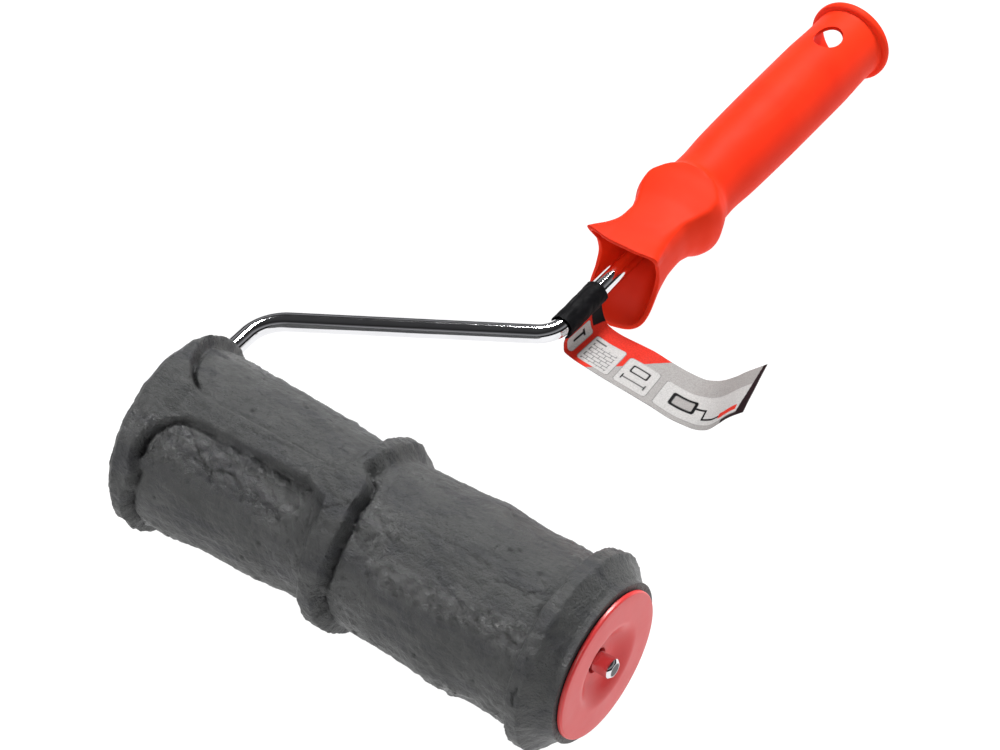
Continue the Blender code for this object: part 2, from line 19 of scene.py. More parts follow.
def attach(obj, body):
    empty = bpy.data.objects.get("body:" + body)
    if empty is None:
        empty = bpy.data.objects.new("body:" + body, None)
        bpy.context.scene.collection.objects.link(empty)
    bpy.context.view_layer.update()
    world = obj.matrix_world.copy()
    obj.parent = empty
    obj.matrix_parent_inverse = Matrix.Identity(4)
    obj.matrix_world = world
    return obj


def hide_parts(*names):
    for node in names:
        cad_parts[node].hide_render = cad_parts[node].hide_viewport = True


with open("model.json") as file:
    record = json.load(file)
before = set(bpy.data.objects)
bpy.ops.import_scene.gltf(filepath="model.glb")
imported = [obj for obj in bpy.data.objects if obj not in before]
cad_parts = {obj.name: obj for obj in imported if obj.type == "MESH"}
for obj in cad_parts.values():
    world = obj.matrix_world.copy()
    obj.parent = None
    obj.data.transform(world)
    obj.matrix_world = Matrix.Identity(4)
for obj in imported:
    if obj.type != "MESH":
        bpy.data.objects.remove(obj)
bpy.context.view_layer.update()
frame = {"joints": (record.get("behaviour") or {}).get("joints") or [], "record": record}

MM = 0.001
AXLE = Vector(frame["joints"][0]["pos_m"])
BUTT = next(m for m in frame["record"]["mounts"] if m["name"] == "handle_butt_face")
TILT = math.atan2(-BUTT["axis"][2], BUTT["axis"][1])
PLACE = Matrix.Translation(AXLE) @ Matrix.Rotation(-TILT, 4, "X")
TOOL = PLACE @ Matrix.Scale(MM, 4)

GAP = 0.3
ROD_R = 4.0

# ---- Camera: the photograph's view, in the tool's frame ----
CAMERA_PLACE = (478.75, -647.18, 885.41)
CAMERA_RIGHT = (0.8185, 0.5739, 0.0262)
CAMERA_BACK = (0.3925, -0.5920, 0.7039)
CAMERA_LENS = 117.06
CAMERA_SENSOR = 36.0


def add_camera():
    """A level row frame sees the tool tilted, so the camera is placed in the tool's own frame."""
    back = Vector(CAMERA_BACK).normalized()
    up = back.cross(Vector(CAMERA_RIGHT)).normalized()
    turned_axes = Matrix((up.cross(back), up, back)).transposed().to_4x4()
    data = bpy.data.cameras.new("camera")
    data.lens = CAMERA_LENS
    data.sensor_width = CAMERA_SENSOR
    data.clip_start = 0.05
    data.clip_end = 30.0
    camera = bpy.data.objects.new("camera", data)
    bpy.context.scene.collection.objects.link(camera)
    camera.matrix_world = PLACE @ Matrix.Translation(Vector(CAMERA_PLACE) * MM) @ turned_axes
    bpy.context.scene.camera = camera


# ---- Numbers and noise ----


def smoothstep(value, start, end):
    share = np.clip((value - start) / (end - start), 0.0, 1.0)
    return share * share * (3.0 - 2.0 * share)


def bump_at(value, middle, width):
    """A bell, 1 at the middle."""
    return np.exp(-(((value - middle) / width) ** 2))


def through(points, at):
    """A smooth curve through (position, value) points that doesn't overshoot them, read at positions."""
    xs, ys = np.array(points, float).T
    slopes = np.diff(ys) / np.diff(xs)
    product = slopes[:-1] * slopes[1:]
    total = np.where(np.abs(slopes[:-1] + slopes[1:]) < 1e-12, 1.0, slopes[:-1] + slopes[1:])
    inner = np.where(product > 0.0, 2.0 * product / total, 0.0)
    tangents = np.concatenate([slopes[:1], inner, slopes[-1:]])
    at = np.clip(np.asarray(at, float), xs[0], xs[-1])
    i = np.clip(np.searchsorted(xs, at, side="right") - 1, 0, len(xs) - 2)
    width = xs[i + 1] - xs[i]
    t = (at - xs[i]) / width
    rise = ys[i] * (1 + 2 * t) * (1 - t) ** 2 + ys[i + 1] * t * t * (3 - 2 * t)
    bend = tangents[i] * width * t * (1 - t) ** 2 + tangents[i + 1] * width * t * t * (t - 1)
    return rise + bend


def lattice_noise(points, seed):
    """Smooth noise, about -1 to 1, at each row of points. The same seed gives the same noise."""
    random = np.random.RandomState(seed)
    order = random.permutation(256)
    slopes = random.normal(size=(256, 3))
    slopes /= np.linalg.norm(slopes, axis=1, keepdims=True)
    cell = np.floor(points).astype(int)
    part = points - cell
    fade = part**3 * (part * (part * 6.0 - 15.0) + 10.0)
    total = np.zeros(len(points))
    for corner in itertools.product((0, 1), repeat=3):
        at = (cell + corner) & 255
        pick = order[(order[(order[at[:, 0]] + at[:, 1]) & 255] + at[:, 2]) & 255]
        dots = ((part - corner) * slopes[pick]).sum(axis=1)
        total += np.where(corner, fade, 1.0 - fade).prod(axis=1) * dots
    return total * 1.6


def layered_noise(points, size, layers, seed):
    """Noise with finer layers added, for features of about that size in mm."""
    total = np.zeros(len(points))
    for layer in range(layers):
        total += lattice_noise(points / size * 2.0**layer, seed + layer) / 2.0**layer
    return total


def creased_noise(points, size, layers, seed):
    """Noise with sharp valleys, 0 at a valley's line and up to 1 between them."""
    total = np.zeros(len(points))
    for layer in range(layers):
        total += np.abs(lattice_noise(points / size * 1.9**layer, seed + layer)) / 1.8**layer
    return total


# ---- Mesh helpers ----


def finish_mesh(mesh, sharp_angle=35.0):
    work = bmesh.new()
    work.from_mesh(mesh)
    bmesh.ops.remove_doubles(work, verts=work.verts, dist=0.000002)
    bmesh.ops.recalc_face_normals(work, faces=work.faces)
    work.to_mesh(mesh)
    work.free()
    mesh.shade_smooth()
    mesh.set_sharp_from_angle(angle=math.radians(sharp_angle))
    return mesh


def link_mesh(name, mesh):
    obj = bpy.data.objects.new(name, mesh)
    bpy.context.scene.collection.objects.link(obj)
    return obj


def to_row_frame(points):
    """Points in mm in the tool's frame, as metres in the row frame."""
    matrix = np.array(TOOL)
    return np.asarray(points, float).reshape(-1, 3) @ matrix[:3, :3].T + matrix[:3, 3]


def grid_faces(rows, columns, close_rows, close_columns):
    """Corner numbers of the quads of a grid of points, which may close on itself either way."""
    row = np.arange(rows if close_rows else rows - 1)
    column = np.arange(columns if close_columns else columns - 1)
    r, c = (a.ravel() for a in np.meshgrid(row, column, indexing="ij"))
    r2, c2 = (r + 1) % rows, (c + 1) % columns
    corners = [r * columns + c, r * columns + c2, r2 * columns + c2, r2 * columns + c]
    return np.stack(corners, axis=1)


def grid_object(name, points, close_rows=False, capped=False, sharp_angle=35.0, keep=None):
    """A surface over rings of points in the tool's frame. Capped closes the first and last ring with a face.
    Keep is {name: a value for each point}, kept on the mesh for its material."""
    rows, columns = points.shape[:2]
    faces = grid_faces(rows, columns, close_rows, True).tolist()
    if capped:
        faces.append(list(range(columns)))
        faces.append([(rows - 1) * columns + i for i in range(columns)])
    mesh = bpy.data.meshes.new(name)
    mesh.from_pydata(to_row_frame(points).tolist(), [], faces)
    for title, values in (keep or {}).items():
        add_values(mesh, title, values)
    finish_mesh(mesh, sharp_angle)
    return link_mesh(name, mesh)


def add_values(mesh, title, values):
    """Keeps a number or a colour for each point on the mesh."""
    if values.ndim == 2:
        layer = mesh.color_attributes.new(title, "FLOAT_COLOR", "POINT")
        full = np.ones((len(values), 4), np.float32)
        full[:, :3] = values
        layer.data.foreach_set("color", full.ravel())
        return
    layer = mesh.attributes.new(title, "FLOAT", "POINT")
    layer.data.foreach_set("value", values.astype(np.float32))


def around_axle(x, turn, radius):
    """Points at x along the axle, at an angle in radians and a radius round it."""
    return np.stack([x, radius * np.cos(turn), radius * np.sin(turn)], axis=-1)


def turned(name, outline, sides=96):
    """A shape turned about the axle. The outline is closed, as (radius, x)."""
    outline = np.array(outline, float)
    turn = np.linspace(0.0, math.tau, sides, endpoint=False)
    radius, x = outline[:, 0, None], outline[:, 1, None]
    return grid_object(name, around_axle(x + 0.0 * turn, turn, radius), close_rows=True)


def rounded(outline, radius=0.3, steps=3):
    """A closed outline with each corner rounded off, less where its sides are short."""
    corners = [Vector(point) for point in outline]
    made = []
    for i, corner in enumerate(corners):
        back = corners[i - 1] - corner
        ahead = corners[(i + 1) % len(corners)] - corner
        reach = min(radius, back.length * 0.45, ahead.length * 0.45)
        start = corner + back.normalized() * reach
        end = corner + ahead.normalized() * reach
        for step in range(steps + 1):
            t = step / steps
            made.append(tuple(start * (1 - t) ** 2 + corner * (2 * t * (1 - t)) + end * t * t))
    return made


def cut(obj, *tools, operation="DIFFERENCE"):
    """Applies a Boolean with each tool, and removes the tools."""
    for tool in tools:
        modifier = obj.modifiers.new(tool.name, "BOOLEAN")
        modifier.operation = operation
        modifier.object = tool
        modifier.solver = "EXACT"
    graph = bpy.context.evaluated_depsgraph_get()
    mesh = bpy.data.meshes.new_from_object(obj.evaluated_get(graph))
    obj.modifiers.clear()
    obj.data = mesh
    for tool in tools:
        bpy.data.objects.remove(tool, do_unlink=True)
    finish_mesh(mesh)
    return obj


def settle(obj, body, look, slot, *nodes):
    """Gives a piece its material and body, and hides the CAD nodes that it stands in for."""
    obj.data.materials.clear()
    obj.data.materials.append(look)
    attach(obj, body)
    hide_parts(*nodes)
    return obj


# ---- Materials ----


class Look:
    """A material with its Principled shader, and short calls for the nodes that drive it."""

    def __init__(self, name, **values):
        self.material = bpy.data.materials.new(name)
        self.material.use_nodes = True
        self.tree = self.material.node_tree
        self.shader = self.tree.nodes["Principled BSDF"]
        for title, value in values.items():
            self.shader.inputs[title.replace("_", " ")].default_value = value
        self.place = self.add("ShaderNodeTexCoord").outputs["Object"]

    def add(self, kind, **settings):
        node = self.tree.nodes.new(kind)
        for title, value in settings.items():
            setattr(node, title, value)
        return node

    def feed(self, socket, value):
        if isinstance(value, bpy.types.NodeSocket):
            self.tree.links.new(value, socket)
        elif hasattr(value, "__len__") and len(value) == 3 and socket.type == "RGBA":
            socket.default_value = (*value, 1.0)
        else:
            socket.default_value = value

    def noise(self, size_mm, detail=4.0, roughness=0.55, distortion=0.0, stretch=(1, 1, 1)):
        """Noise with features of about that size."""
        mapping = self.add("ShaderNodeMapping")
        self.feed(mapping.inputs["Vector"], self.place)
        mapping.inputs["Scale"].default_value = [1 / s for s in stretch]
        texture = self.add("ShaderNodeTexNoise")
        self.feed(texture.inputs["Vector"], mapping.outputs["Vector"])
        texture.inputs["Scale"].default_value = 1.0 / (size_mm * MM)
        texture.inputs["Detail"].default_value = detail
        texture.inputs["Roughness"].default_value = roughness
        texture.inputs["Distortion"].default_value = distortion
        return texture.outputs["Fac"]

    def span(self, value, from_low, from_high, to_low, to_high):
        """Moves a value from one range to another, and holds it inside."""
        node = self.add("ShaderNodeMapRange")
        titles = ("From Min", "From Max", "To Min", "To Max")
        self.feed(node.inputs["Value"], value)
        for title, number in zip(titles, (from_low, from_high, to_low, to_high)):
            node.inputs[title].default_value = number
        return node.outputs["Result"]

    def maths(self, operation, a, b):
        node = self.add("ShaderNodeMath", operation=operation)
        self.feed(node.inputs[0], a)
        self.feed(node.inputs[1], b)
        return node.outputs[0]

    def mix(self, share, a, b, blend="MIX"):
        node = self.add("ShaderNodeMix", data_type="RGBA", blend_type=blend)
        self.feed(node.inputs["Factor"], share)
        self.feed(node.inputs["A"], a)
        self.feed(node.inputs["B"], b)
        return node.outputs["Result"]

    def kept(self, title, output="Fac"):
        """Values kept on the mesh under that name."""
        node = self.add("ShaderNodeAttribute", attribute_name=title)
        return node.outputs[output]

    def bumps(self, *layers):
        """Bump layers, each (height socket, height in mm)."""
        normal = None
        for height, depth in layers:
            node = self.add("ShaderNodeBump")
            node.inputs["Distance"].default_value = depth * MM
            self.feed(node.inputs["Height"], height)
            if normal:
                self.feed(node.inputs["Normal"], normal)
            normal = node.outputs["Normal"]
        self.feed(self.shader.inputs["Normal"], normal)

    def colour(self, value):
        self.feed(self.shader.inputs["Base Color"], value)

    def roughness(self, value):
        self.feed(self.shader.inputs["Roughness"], value)


RUBBER_PALE = (0.082, 0.084, 0.083)
RUBBER_MIDDLE = (0.062, 0.064, 0.064)
RUBBER_COOL = (0.040, 0.041, 0.047)
# Painted shade for the sleeve's grooves, creases, cracks and pits
RUBBER_HOLLOW_SHADE = (0.004, 0.004, 0.005)


def rubber_look():
    """Moulded rubber, with painted shade darkening its grooves, creases, cracks and pits, and glossier where
    the surface is crumpled.
    """
    look = Look("rubber_grey")
    broad = look.span(look.noise(26.0, 3.0), 0.35, 0.65, 0.0, 1.0)
    tint = look.mix(broad, RUBBER_MIDDLE, RUBBER_PALE)
    streaks = look.span(look.noise(9.0, 5.0, 0.6, 0.4, (3.0, 1, 1)), 0.48, 0.66, 0.0, 0.75)
    tint = look.mix(streaks, tint, RUBBER_COOL)
    specks = look.span(look.noise(1.1, 3.0, 0.6), 0.60, 0.72, 0.0, 0.35)
    tint = look.mix(specks, tint, RUBBER_PALE)
    # The kept hollow values paint shade into the grooves, creases, cracks and pits
    look.colour(look.mix(look.kept("hollow"), tint, RUBBER_HOLLOW_SHADE))
    gloss = look.span(look.noise(7.0, 4.0), 0.35, 0.65, 0.38, 0.52)
    wet = look.kept("wet")
    look.roughness(look.maths("MULTIPLY", gloss, look.span(wet, 0.0, 1.0, 1.0, 0.48)))
    look.feed(look.shader.inputs["Specular IOR Level"], look.span(wet, 0.0, 1.0, 0.34, 0.95))
    folds = look.noise(3.0, 5.0, 0.62, 0.9)
    wrinkles = look.maths("MULTIPLY", folds, look.span(wet, 0.0, 1.0, 0.35, 1.0))
    grain = look.noise(0.9, 4.0, 0.6)
    scratches = look.noise(1.8, 4.0, 0.6, 0.2, (4.0, 1, 1))
    look.bumps((wrinkles, 2.2), (scratches, 0.48), (grain, 0.55))
    return look.material


RED = (0.960, 0.040, 0.009)
RED_DEEP = (0.900, 0.030, 0.006)
CAP_RED = (0.820, 0.050, 0.052)
CAP_RED_DEEP = (0.760, 0.038, 0.038)


def plastic_look(name, deep, pale, rough, shine=0.10):
    """Moulded plastic: a faint flow pattern, and the skin that a spark-eroded mould leaves."""
    look = Look(name, Specular_IOR_Level=shine)
    flow = look.span(look.noise(40.0, 3.0, 0.5, 0.6), 0.35, 0.65, 0.0, 1.0)
    look.colour(look.mix(flow, deep, pale))
    look.roughness(look.span(look.noise(14.0, 4.0), 0.3, 0.7, rough - 0.04, rough + 0.05))
    skin = look.noise(0.45, 2.0, 0.5)
    sink = look.noise(12.0, 2.0, 0.5)
    look.bumps((sink, 0.10), (skin, 0.012))
    return look.material


# Bare steel darkened far below its real colour, as painted shade on the rod's sheared end
RAW_STEEL_SHADE = (0.10, 0.10, 0.105)


def metal_look(name, colour, rough, brushed_mm):
    """Metal with fine drawing marks along the axle, and duller patches. Where kept, a bare end is rougher and
    painted dark as shade.
    """
    look = Look(name, Metallic=1.0)
    raw_and_shade = look.kept("raw_and_shade")
    clean = look.mix(look.span(look.noise(15.0, 3.0), 0.3, 0.7, 0.0, 1.0), colour, [c * 0.93 for c in colour])
    # The kept mark darkens the bare end's colour as painted shade
    look.colour(look.mix(raw_and_shade, clean, RAW_STEEL_SHADE))
    polish = look.span(look.noise(6.0, 5.0, 0.6), 0.3, 0.7, rough * 0.75, rough * 1.35)
    look.roughness(look.maths("ADD", polish, look.maths("MULTIPLY", raw_and_shade, 0.4)))
    marks = look.noise(0.6, 3.0, 0.6, 0.0, (9.0, 9.0, 1.0))
    look.bumps((marks, brushed_mm))
    return look.material


def paper_look():
    """Printed paper with a thin coating. The print comes with the mesh."""
    look = Look("label_paper", Specular_IOR_Level=0.06)
    fibres = look.span(look.noise(0.6, 4.0, 0.8), 0.38, 0.62, 0.80, 1.06)
    print_colour = look.kept("print", "Color")
    look.colour(look.mix(1.0, print_colour, fibres, "MULTIPLY"))
    look.roughness(look.span(look.noise(5.0, 3.0), 0.3, 0.7, 0.52, 0.65))
    look.bumps((look.noise(6.0, 3.0, 0.5), 0.12), (look.noise(0.6, 3.0), 0.015))
    return look.material


# ---- Rubber sleeve ----
SLEEVE_END = 98.0
SLEEVE_BORE = 24.3
SLEEVE_STATIONS = 300
SLEEVE_SIDES = 318
BODY_R = 34.3
CROSS_RIDGE_R = 37.4
RINGS = {"far": (-94.0, 40.1), "middle": (-4.6, 38.7), "near": (85.0, 40.2)}
NEAR_RING_DIP = 1.5
DIP_ANGLE = 40.0
TOP_LIMIT_R = 40.5
MM_PER_DEGREE = math.radians(35.5)
NOISE_R = 35.0
# Angles of the two cross ridges, and how far each reaches to its front and its back
FAR_RIDGE_ANGLE = 106.3
NEAR_RIDGE_ANGLE = 286.3
RIDGE_REACH = (7.0, 4.6)
# Width of a panel's walls towards its low end, high end, front ridge and back ridge. The near panel's
# wall at its low end varies, so NEAR_WALLS has only the other three.
FAR_WALLS = (2.0, 5.0, 2.3, 1.6)
NEAR_WALLS = (2.2, 2.3, 1.6)
# How far the moulded body stands off its plain radius along the axle, on its upper and lower side
UPPER_WANDER = (
    (-78, 1.5), (-66, 1.2), (-44, 0.3), (-18, -1.0), (22, -1.2), (40, 0.0), (60, -1.6), (78, -1.3),
)
LOWER_WANDER = (
    (-76, 1.5), (-60, 0.3), (-36, -0.2), (-18, -1.6), (12, -0.2), (30, 0.4), (48, 1.8),
    (62, 0.6), (76, 1.6),
)
# The foot of the far ring's inner wall, as (angle, x)
FAR_FOOT = (
    (0, -91), (57, -93), (75, -91), (86, -88.5), (97, -84.5), (118, -81), (131, -84.5),
    (141, -87), (150, -87.5), (160, -86), (175, -88), (200, -90), (260, -88), (310, -91), (360, -91),
)
MIDDLE_FOOT_LOW = -14.0
# The foot of the middle ring's wall on its +X side, as (angle, x)
MIDDLE_FOOT_HIGH = (
    (0, 1), (60, 0.5), (85, -1.0), (92, -2.8), (97, 0.2), (103, 1.2), (130, 1.9),
    (158, 1.2), (175, -1.2), (200, 0), (270, 1.5), (330, 0), (360, 1),
)
NEAR_FOOT = 80.6
NEAR_BRINK = 88.3
NEAR_FLANK_END = 95.6
NEAR_SEAT_R = 32.0
CORNER_R = 9.0
# Cracks as (depth, then (x, angle) points). The depth also sets how dark the crack's painted shade is.
CRACKS = (
    (0.75, (-74, 120), (-69, 127), (-65, 133), (-58, 138), (-57, 144)),
    (0.60, (-66, 136), (-58, 137), (-50, 133), (-45, 137), (-42, 145)),
    (0.45, (-72, 131), (-66, 130), (-62, 128)),
    (0.40, (-48, 141), (-40, 143), (-33, 139), (-27, 141)),
    (0.70, (-15, 122), (-10, 125), (-6, 121), (-2, 116)),
    (0.35, (25, 106.5), (40, 106.5), (55, 108)),
    (0.55, (60, 113), (66, 111), (72, 112), (76, 108), (80, 104)),
    (0.60, (7, 112), (12, 117)),
    (0.90, (72, 138), (78, 141)),
    (0.55, (14, 119), (18, 122)),
    (0.30, (-55, 106), (-38, 105), (-16, 101)),
    (0.30, (-44, 104), (-30, 102.5), (-20, 103)),
    (0.80, (86, 160), (85, 166), (86, 170)),
    (0.60, (30, 250), (42, 246), (50, 252), (58, 249)),
    (0.60, (-60, 330), (-48, 322), (-40, 326)),
    (0.70, (20, 20), (31, 12), (35, 2)),
    (0.55, (-70, 210), (-62, 222), (-50, 226)),
    (0.50, (52, 330), (60, 318), (70, 322)),
)
# Single pits as (x, angle)
PITS = (
    (6, 158), (20, 120), (60, 87), (57, 90), (-31, 166),
    (41, 129), (15, 148), (-58, 92), (72, 96), (-78, 172),
)
EXTRA_PITS = 46
CRACK_WIDTH = 0.55
PIT_R = 0.85
PIT_DEPTH = 0.7
GROOVE_DEPTH = 1.9


def crack_share(x, theta, line, width):
    """1 along a crack, falling to 0 beside it, and shallower towards its ends."""
    share = np.zeros(x.shape)
    around = theta * MM_PER_DEGREE
    for (x0, a0), (x1, a1) in zip(line, line[1:]):
        start = np.array((x0, a0 * MM_PER_DEGREE))
        along = np.array((x1, a1 * MM_PER_DEGREE)) - start
        t = np.clip(((x - start[0]) * along[0] + (around - start[1]) * along[1]) / (along @ along), 0.0, 1.0)
        away = np.hypot(x - start[0] - t * along[0], around - start[1] - t * along[1])
        share = np.maximum(share, np.exp(-((away / width) ** 2)))
    return share


def panel_step(x, theta, low, high, ridge_angle, walls):
    """Distance past a panel's rounded outline, and the width of the wall there.
    Inside the panel the distance is below 0. Walls are (low x, high x, front, back)."""
    turn = (theta - ridge_angle + 180.0) % 360.0 - 180.0
    foot = np.where(turn > 0.0, *RIDGE_REACH)
    past_ridge = foot - np.abs(turn) * MM_PER_DEGREE
    past_low, past_high = low - x, x - high
    past_side = np.maximum(past_low, past_high)
    across, round_it = past_side + CORNER_R, past_ridge + CORNER_R
    outside = np.hypot(np.maximum(across, 0.0), np.maximum(round_it, 0.0)) - CORNER_R
    distance = outside + np.minimum(np.maximum(across, round_it), 0.0)
    side_wall = np.where(past_low > past_high, walls[0], walls[1])
    ridge_wall = np.where(turn > 0.0, walls[2], walls[3])
    share = 1.0 / (1.0 + np.exp(np.clip((past_ridge - past_side) / 1.5, -30.0, 30.0)))
    return distance, side_wall * share + ridge_wall * (1.0 - share)


def step_profile(share):
    """A wall with a soft foot and a crisper upper edge."""
    return 0.4 * smoothstep(share, 0.0, 1.0) + 0.6 * np.clip(share, 0.0, 1.0) ** 1.5


def sleeve_body(x, spots, upper):
    """Radius of the panels' floors."""
    body = BODY_R + upper * through(UPPER_WANDER, x) + (1.0 - upper) * through(LOWER_WANDER, x)
    return body + 0.48 * layered_noise(spots, 17.0, 2, 31)


def sleeve_crest(x, spots, upper):
    """Radius of the rings and the cross ridges."""
    crest = np.full(x.shape, CROSS_RIDGE_R)
    for centre, radius in RINGS.values():
        dip = NEAR_RING_DIP * upper if centre == RINGS["near"][0] else 0.0
        crest += (1.0 - smoothstep(np.abs(x - centre), 6.0, 15.0)) * (radius - dip - CROSS_RIDGE_R)
    crest += 0.55 * layered_noise(spots, 11.0, 3, 41)
    on_ring = bump_at(x, RINGS["far"][0], 7.0) + 0.6 * bump_at(x, RINGS["middle"][0], 8.0)
    return crest - on_ring * 1.5 * np.clip(layered_noise(spots, 13.0, 2, 43), 0.0, 1.0)


def panel_relief(x, theta, spots, wobble):
    """How far the surface has risen from a panel's floor to its crest, and the groove at the walls' feet,
    which is also painted as shade.
    """
    far_low = through(FAR_FOOT, theta)
    near_low = through(MIDDLE_FOOT_HIGH, theta)
    ring_wall = 2.4 + 2.8 * (1.0 - smoothstep(theta, 88.0, 104.0))
    far = panel_step(x, theta, far_low, MIDDLE_FOOT_LOW, FAR_RIDGE_ANGLE, FAR_WALLS)
    near = panel_step(x, theta, near_low, NEAR_FOOT, NEAR_RIDGE_ANGLE, (ring_wall, *NEAR_WALLS))
    rise = np.ones(x.shape)
    groove = np.zeros(x.shape)
    for (distance, wall), crisp in ((far, 1.0), (near, 0.8)):
        distance = distance + wobble * np.minimum(wall / 3.0, 1.0)
        rise *= step_profile(distance / wall)
        depth = crisp * smoothstep(layered_noise(spots, 13.0, 2, 51), -0.7, 0.1)
        groove += depth * bump_at(distance, -0.2, 0.95)
    below = 1.0 - smoothstep(theta, 205.0, 230.0)
    steep = bump_at(x, far_low, 4.0) * smoothstep(theta, 60.0, 90.0) * below
    steep += 0.65 * bump_at(x, near_low, 2.0) * smoothstep(theta, 84.0, 96.0) * below
    # The groove is cut into the surface and also darkened as painted shade. Both are strongest at the front
    # of the far ridge's step and at the feet of the far and middle rings' walls.
    front = smoothstep(theta, 104.0, 110.0) * (1.0 - smoothstep(theta, 118.0, 126.0))
    return rise, groove * (0.10 + 0.40 * front + 1.2 * np.clip(steep, 0.0, 1.0))


def crumpled_share(x, theta, spots, rise):
    """1 where the surface is crumpled, 0 where it is plain."""
    band = bump_at(theta, 133.0, 13.0) * smoothstep(-x, 12.0, 24.0)
    band += bump_at(theta, 122.0, 17.0) * bump_at(x, 8.0, 9.0)
    band += bump_at(theta, 144.0 - 0.08 * x, 9.0) * smoothstep(x, 6.0, 20.0)
    patches = smoothstep(layered_noise(spots, 30.0, 2, 71), 0.05, 0.5) * (1.0 - bump_at(theta, 110.0, 75.0))
    return np.clip(band + 0.8 * patches, 0.0, 1.0) * (1.0 - 0.55 * rise)


def all_pits():
    random = np.random.RandomState(5)
    places = random.uniform(-80, 78, EXTRA_PITS)
    return [*PITS, *zip(places, random.uniform(175, 430, EXTRA_PITS) % 360)]


def add_marks(radius, hollow, x, theta, jag, fine_jag):
    """Cuts the cracks and pits, and paints shade into them through hollow."""
    for depth, *line in CRACKS:
        share = crack_share(x + 0.7 * jag, theta + 1.2 * fine_jag, line, CRACK_WIDTH)
        radius = radius - depth * share
        hollow = np.maximum(hollow, 0.95 * depth * share)
    for at_x, at_angle in all_pits():
        away = np.hypot(x - at_x, ((theta - at_angle + 180) % 360 - 180) * MM_PER_DEGREE)
        share = np.exp(-((away / PIT_R) ** 2))
        radius = radius - PIT_DEPTH * share
        hollow = np.maximum(hollow, 0.7 * share)
    return radius, hollow


def trim_ends(radius, x, jag):
    """The near ring's flank down to the cap, the eased far edge, and the limit of the radius."""
    brink = NEAR_BRINK + 0.3 * jag
    flank = np.clip((x - brink) / (NEAR_FLANK_END - brink), 0.0, 1.0) ** 0.8
    radius = radius + (NEAR_SEAT_R + 0.12 * jag - radius) * flank
    radius = radius - 2.0 * smoothstep(-x, 95.5, SLEEVE_END)
    return np.minimum(radius, TOP_LIMIT_R - 0.05)


def sleeve_fields(x, theta):
    """Outer radius of the sleeve, how much painted shade a point gets in grooves, creases, cracks and pits,
    and how shiny it is.
    """
    shape = x.shape
    x, theta = x.ravel(), theta.ravel()
    turn = np.radians(theta)
    spots = around_axle(x, turn, NOISE_R)
    upper = 0.5 + 0.5 * np.cos(turn - math.radians(DIP_ANGLE))
    jag = layered_noise(spots, 9.0, 3, 11)
    fine_jag = layered_noise(spots, 2.6, 2, 21)

    body = sleeve_body(x, spots, upper)
    crest = sleeve_crest(x, spots, upper)
    rise, groove = panel_relief(x, theta, spots, 0.80 * jag + 0.14 * fine_jag)
    radius = body + (crest - body) * rise

    skin = around_axle(x, turn, radius)
    crumple = creased_noise(skin * (0.9, 1.0, 1.0) + 0.6 * jag[:, None], 7.0, 4, 61)
    crumpled = crumpled_share(x, theta, spots, rise)
    radius += (0.42 + 1.6 * crumpled) * (crumple - 0.40)
    radius += 0.16 * layered_noise(skin * (0.30, 1.0, 1.0), 3.2, 3, 81) * (1.0 - crumpled)
    radius += 0.26 * layered_noise(skin, 2.6, 2, 21)

    # Painted shade: the creases of the crumpled patches and the grooves are darkened in colour through
    # hollow.
    crease_shade = crumpled * (1.0 - smoothstep(crumple, 0.04, 0.34))
    hollow = np.maximum(0.9 * groove, 0.85 * crease_shade)
    radius -= GROOVE_DEPTH * groove * (1.0 - 0.3 * rise)
    radius, hollow = add_marks(radius, hollow, x, theta, jag, fine_jag)
    radius = trim_ends(radius, x, jag)
    wet = np.clip(crumpled, 0.0, 1.0)
    return radius.reshape(shape), np.clip(hollow, 0.0, 1.0).reshape(shape), wet.reshape(shape)


def rubber_sleeve():
    stations = np.linspace(-SLEEVE_END, SLEEVE_END, SLEEVE_STATIONS)
    angles = np.linspace(0.0, 360.0, SLEEVE_SIDES, endpoint=False)
    x, theta = np.meshgrid(stations, angles, indexing="ij")
    radius, hollow, wet = sleeve_fields(x, theta)
    bore = np.full((1, SLEEVE_SIDES), SLEEVE_BORE)
    none = np.zeros((1, SLEEVE_SIDES))
    x = np.concatenate([x[:1], x, x[-1:]])
    theta = np.concatenate([theta[:1], theta, theta[-1:]])
    radius = np.concatenate([bore, radius, bore])
    points = around_axle(x, np.radians(theta), radius)
    # hollow carries the painted shade of the grooves, creases, cracks and pits to the material
    keep = {
        "hollow": np.concatenate([none, hollow, none]).ravel(),
        "wet": np.concatenate([none, wet, none]).ravel(),
    }
    return grid_object("rubber_sleeve", points, close_rows=True, sharp_angle=70.0, keep=keep)


# ---- Caps, core and bearing stack ----
CAP_PLANE = 100.3
CAP_R = 29.5
CAP_RIM = 2.0
CAP_WALL = 1.8
CAP_HOLE_R = 5.0
DISH_R = 17.5
DISH_FLOOR_R = 9.0
DISH_DEPTH = 4.6
SKIRT_R = 21.7
SKIRT_LENGTH = 14.0
HUB_R = 9.0
HUB_BORE_R = 7.0
HUB_LENGTH = 20.0
BUSH_R = 6.7
BUSH_LENGTH = 12.0
WASHER_R = 6.4
WASHER_THICKNESS = 0.8
CLIP_R = 6.0
CLIP_BORE_R = 3.7
CLIP_THICKNESS = 0.9
COLLAR_R = 6.5
COLLAR_THICKNESS = 1.6
CORE_BORE_R = 22.0
CORE_R = 24.0


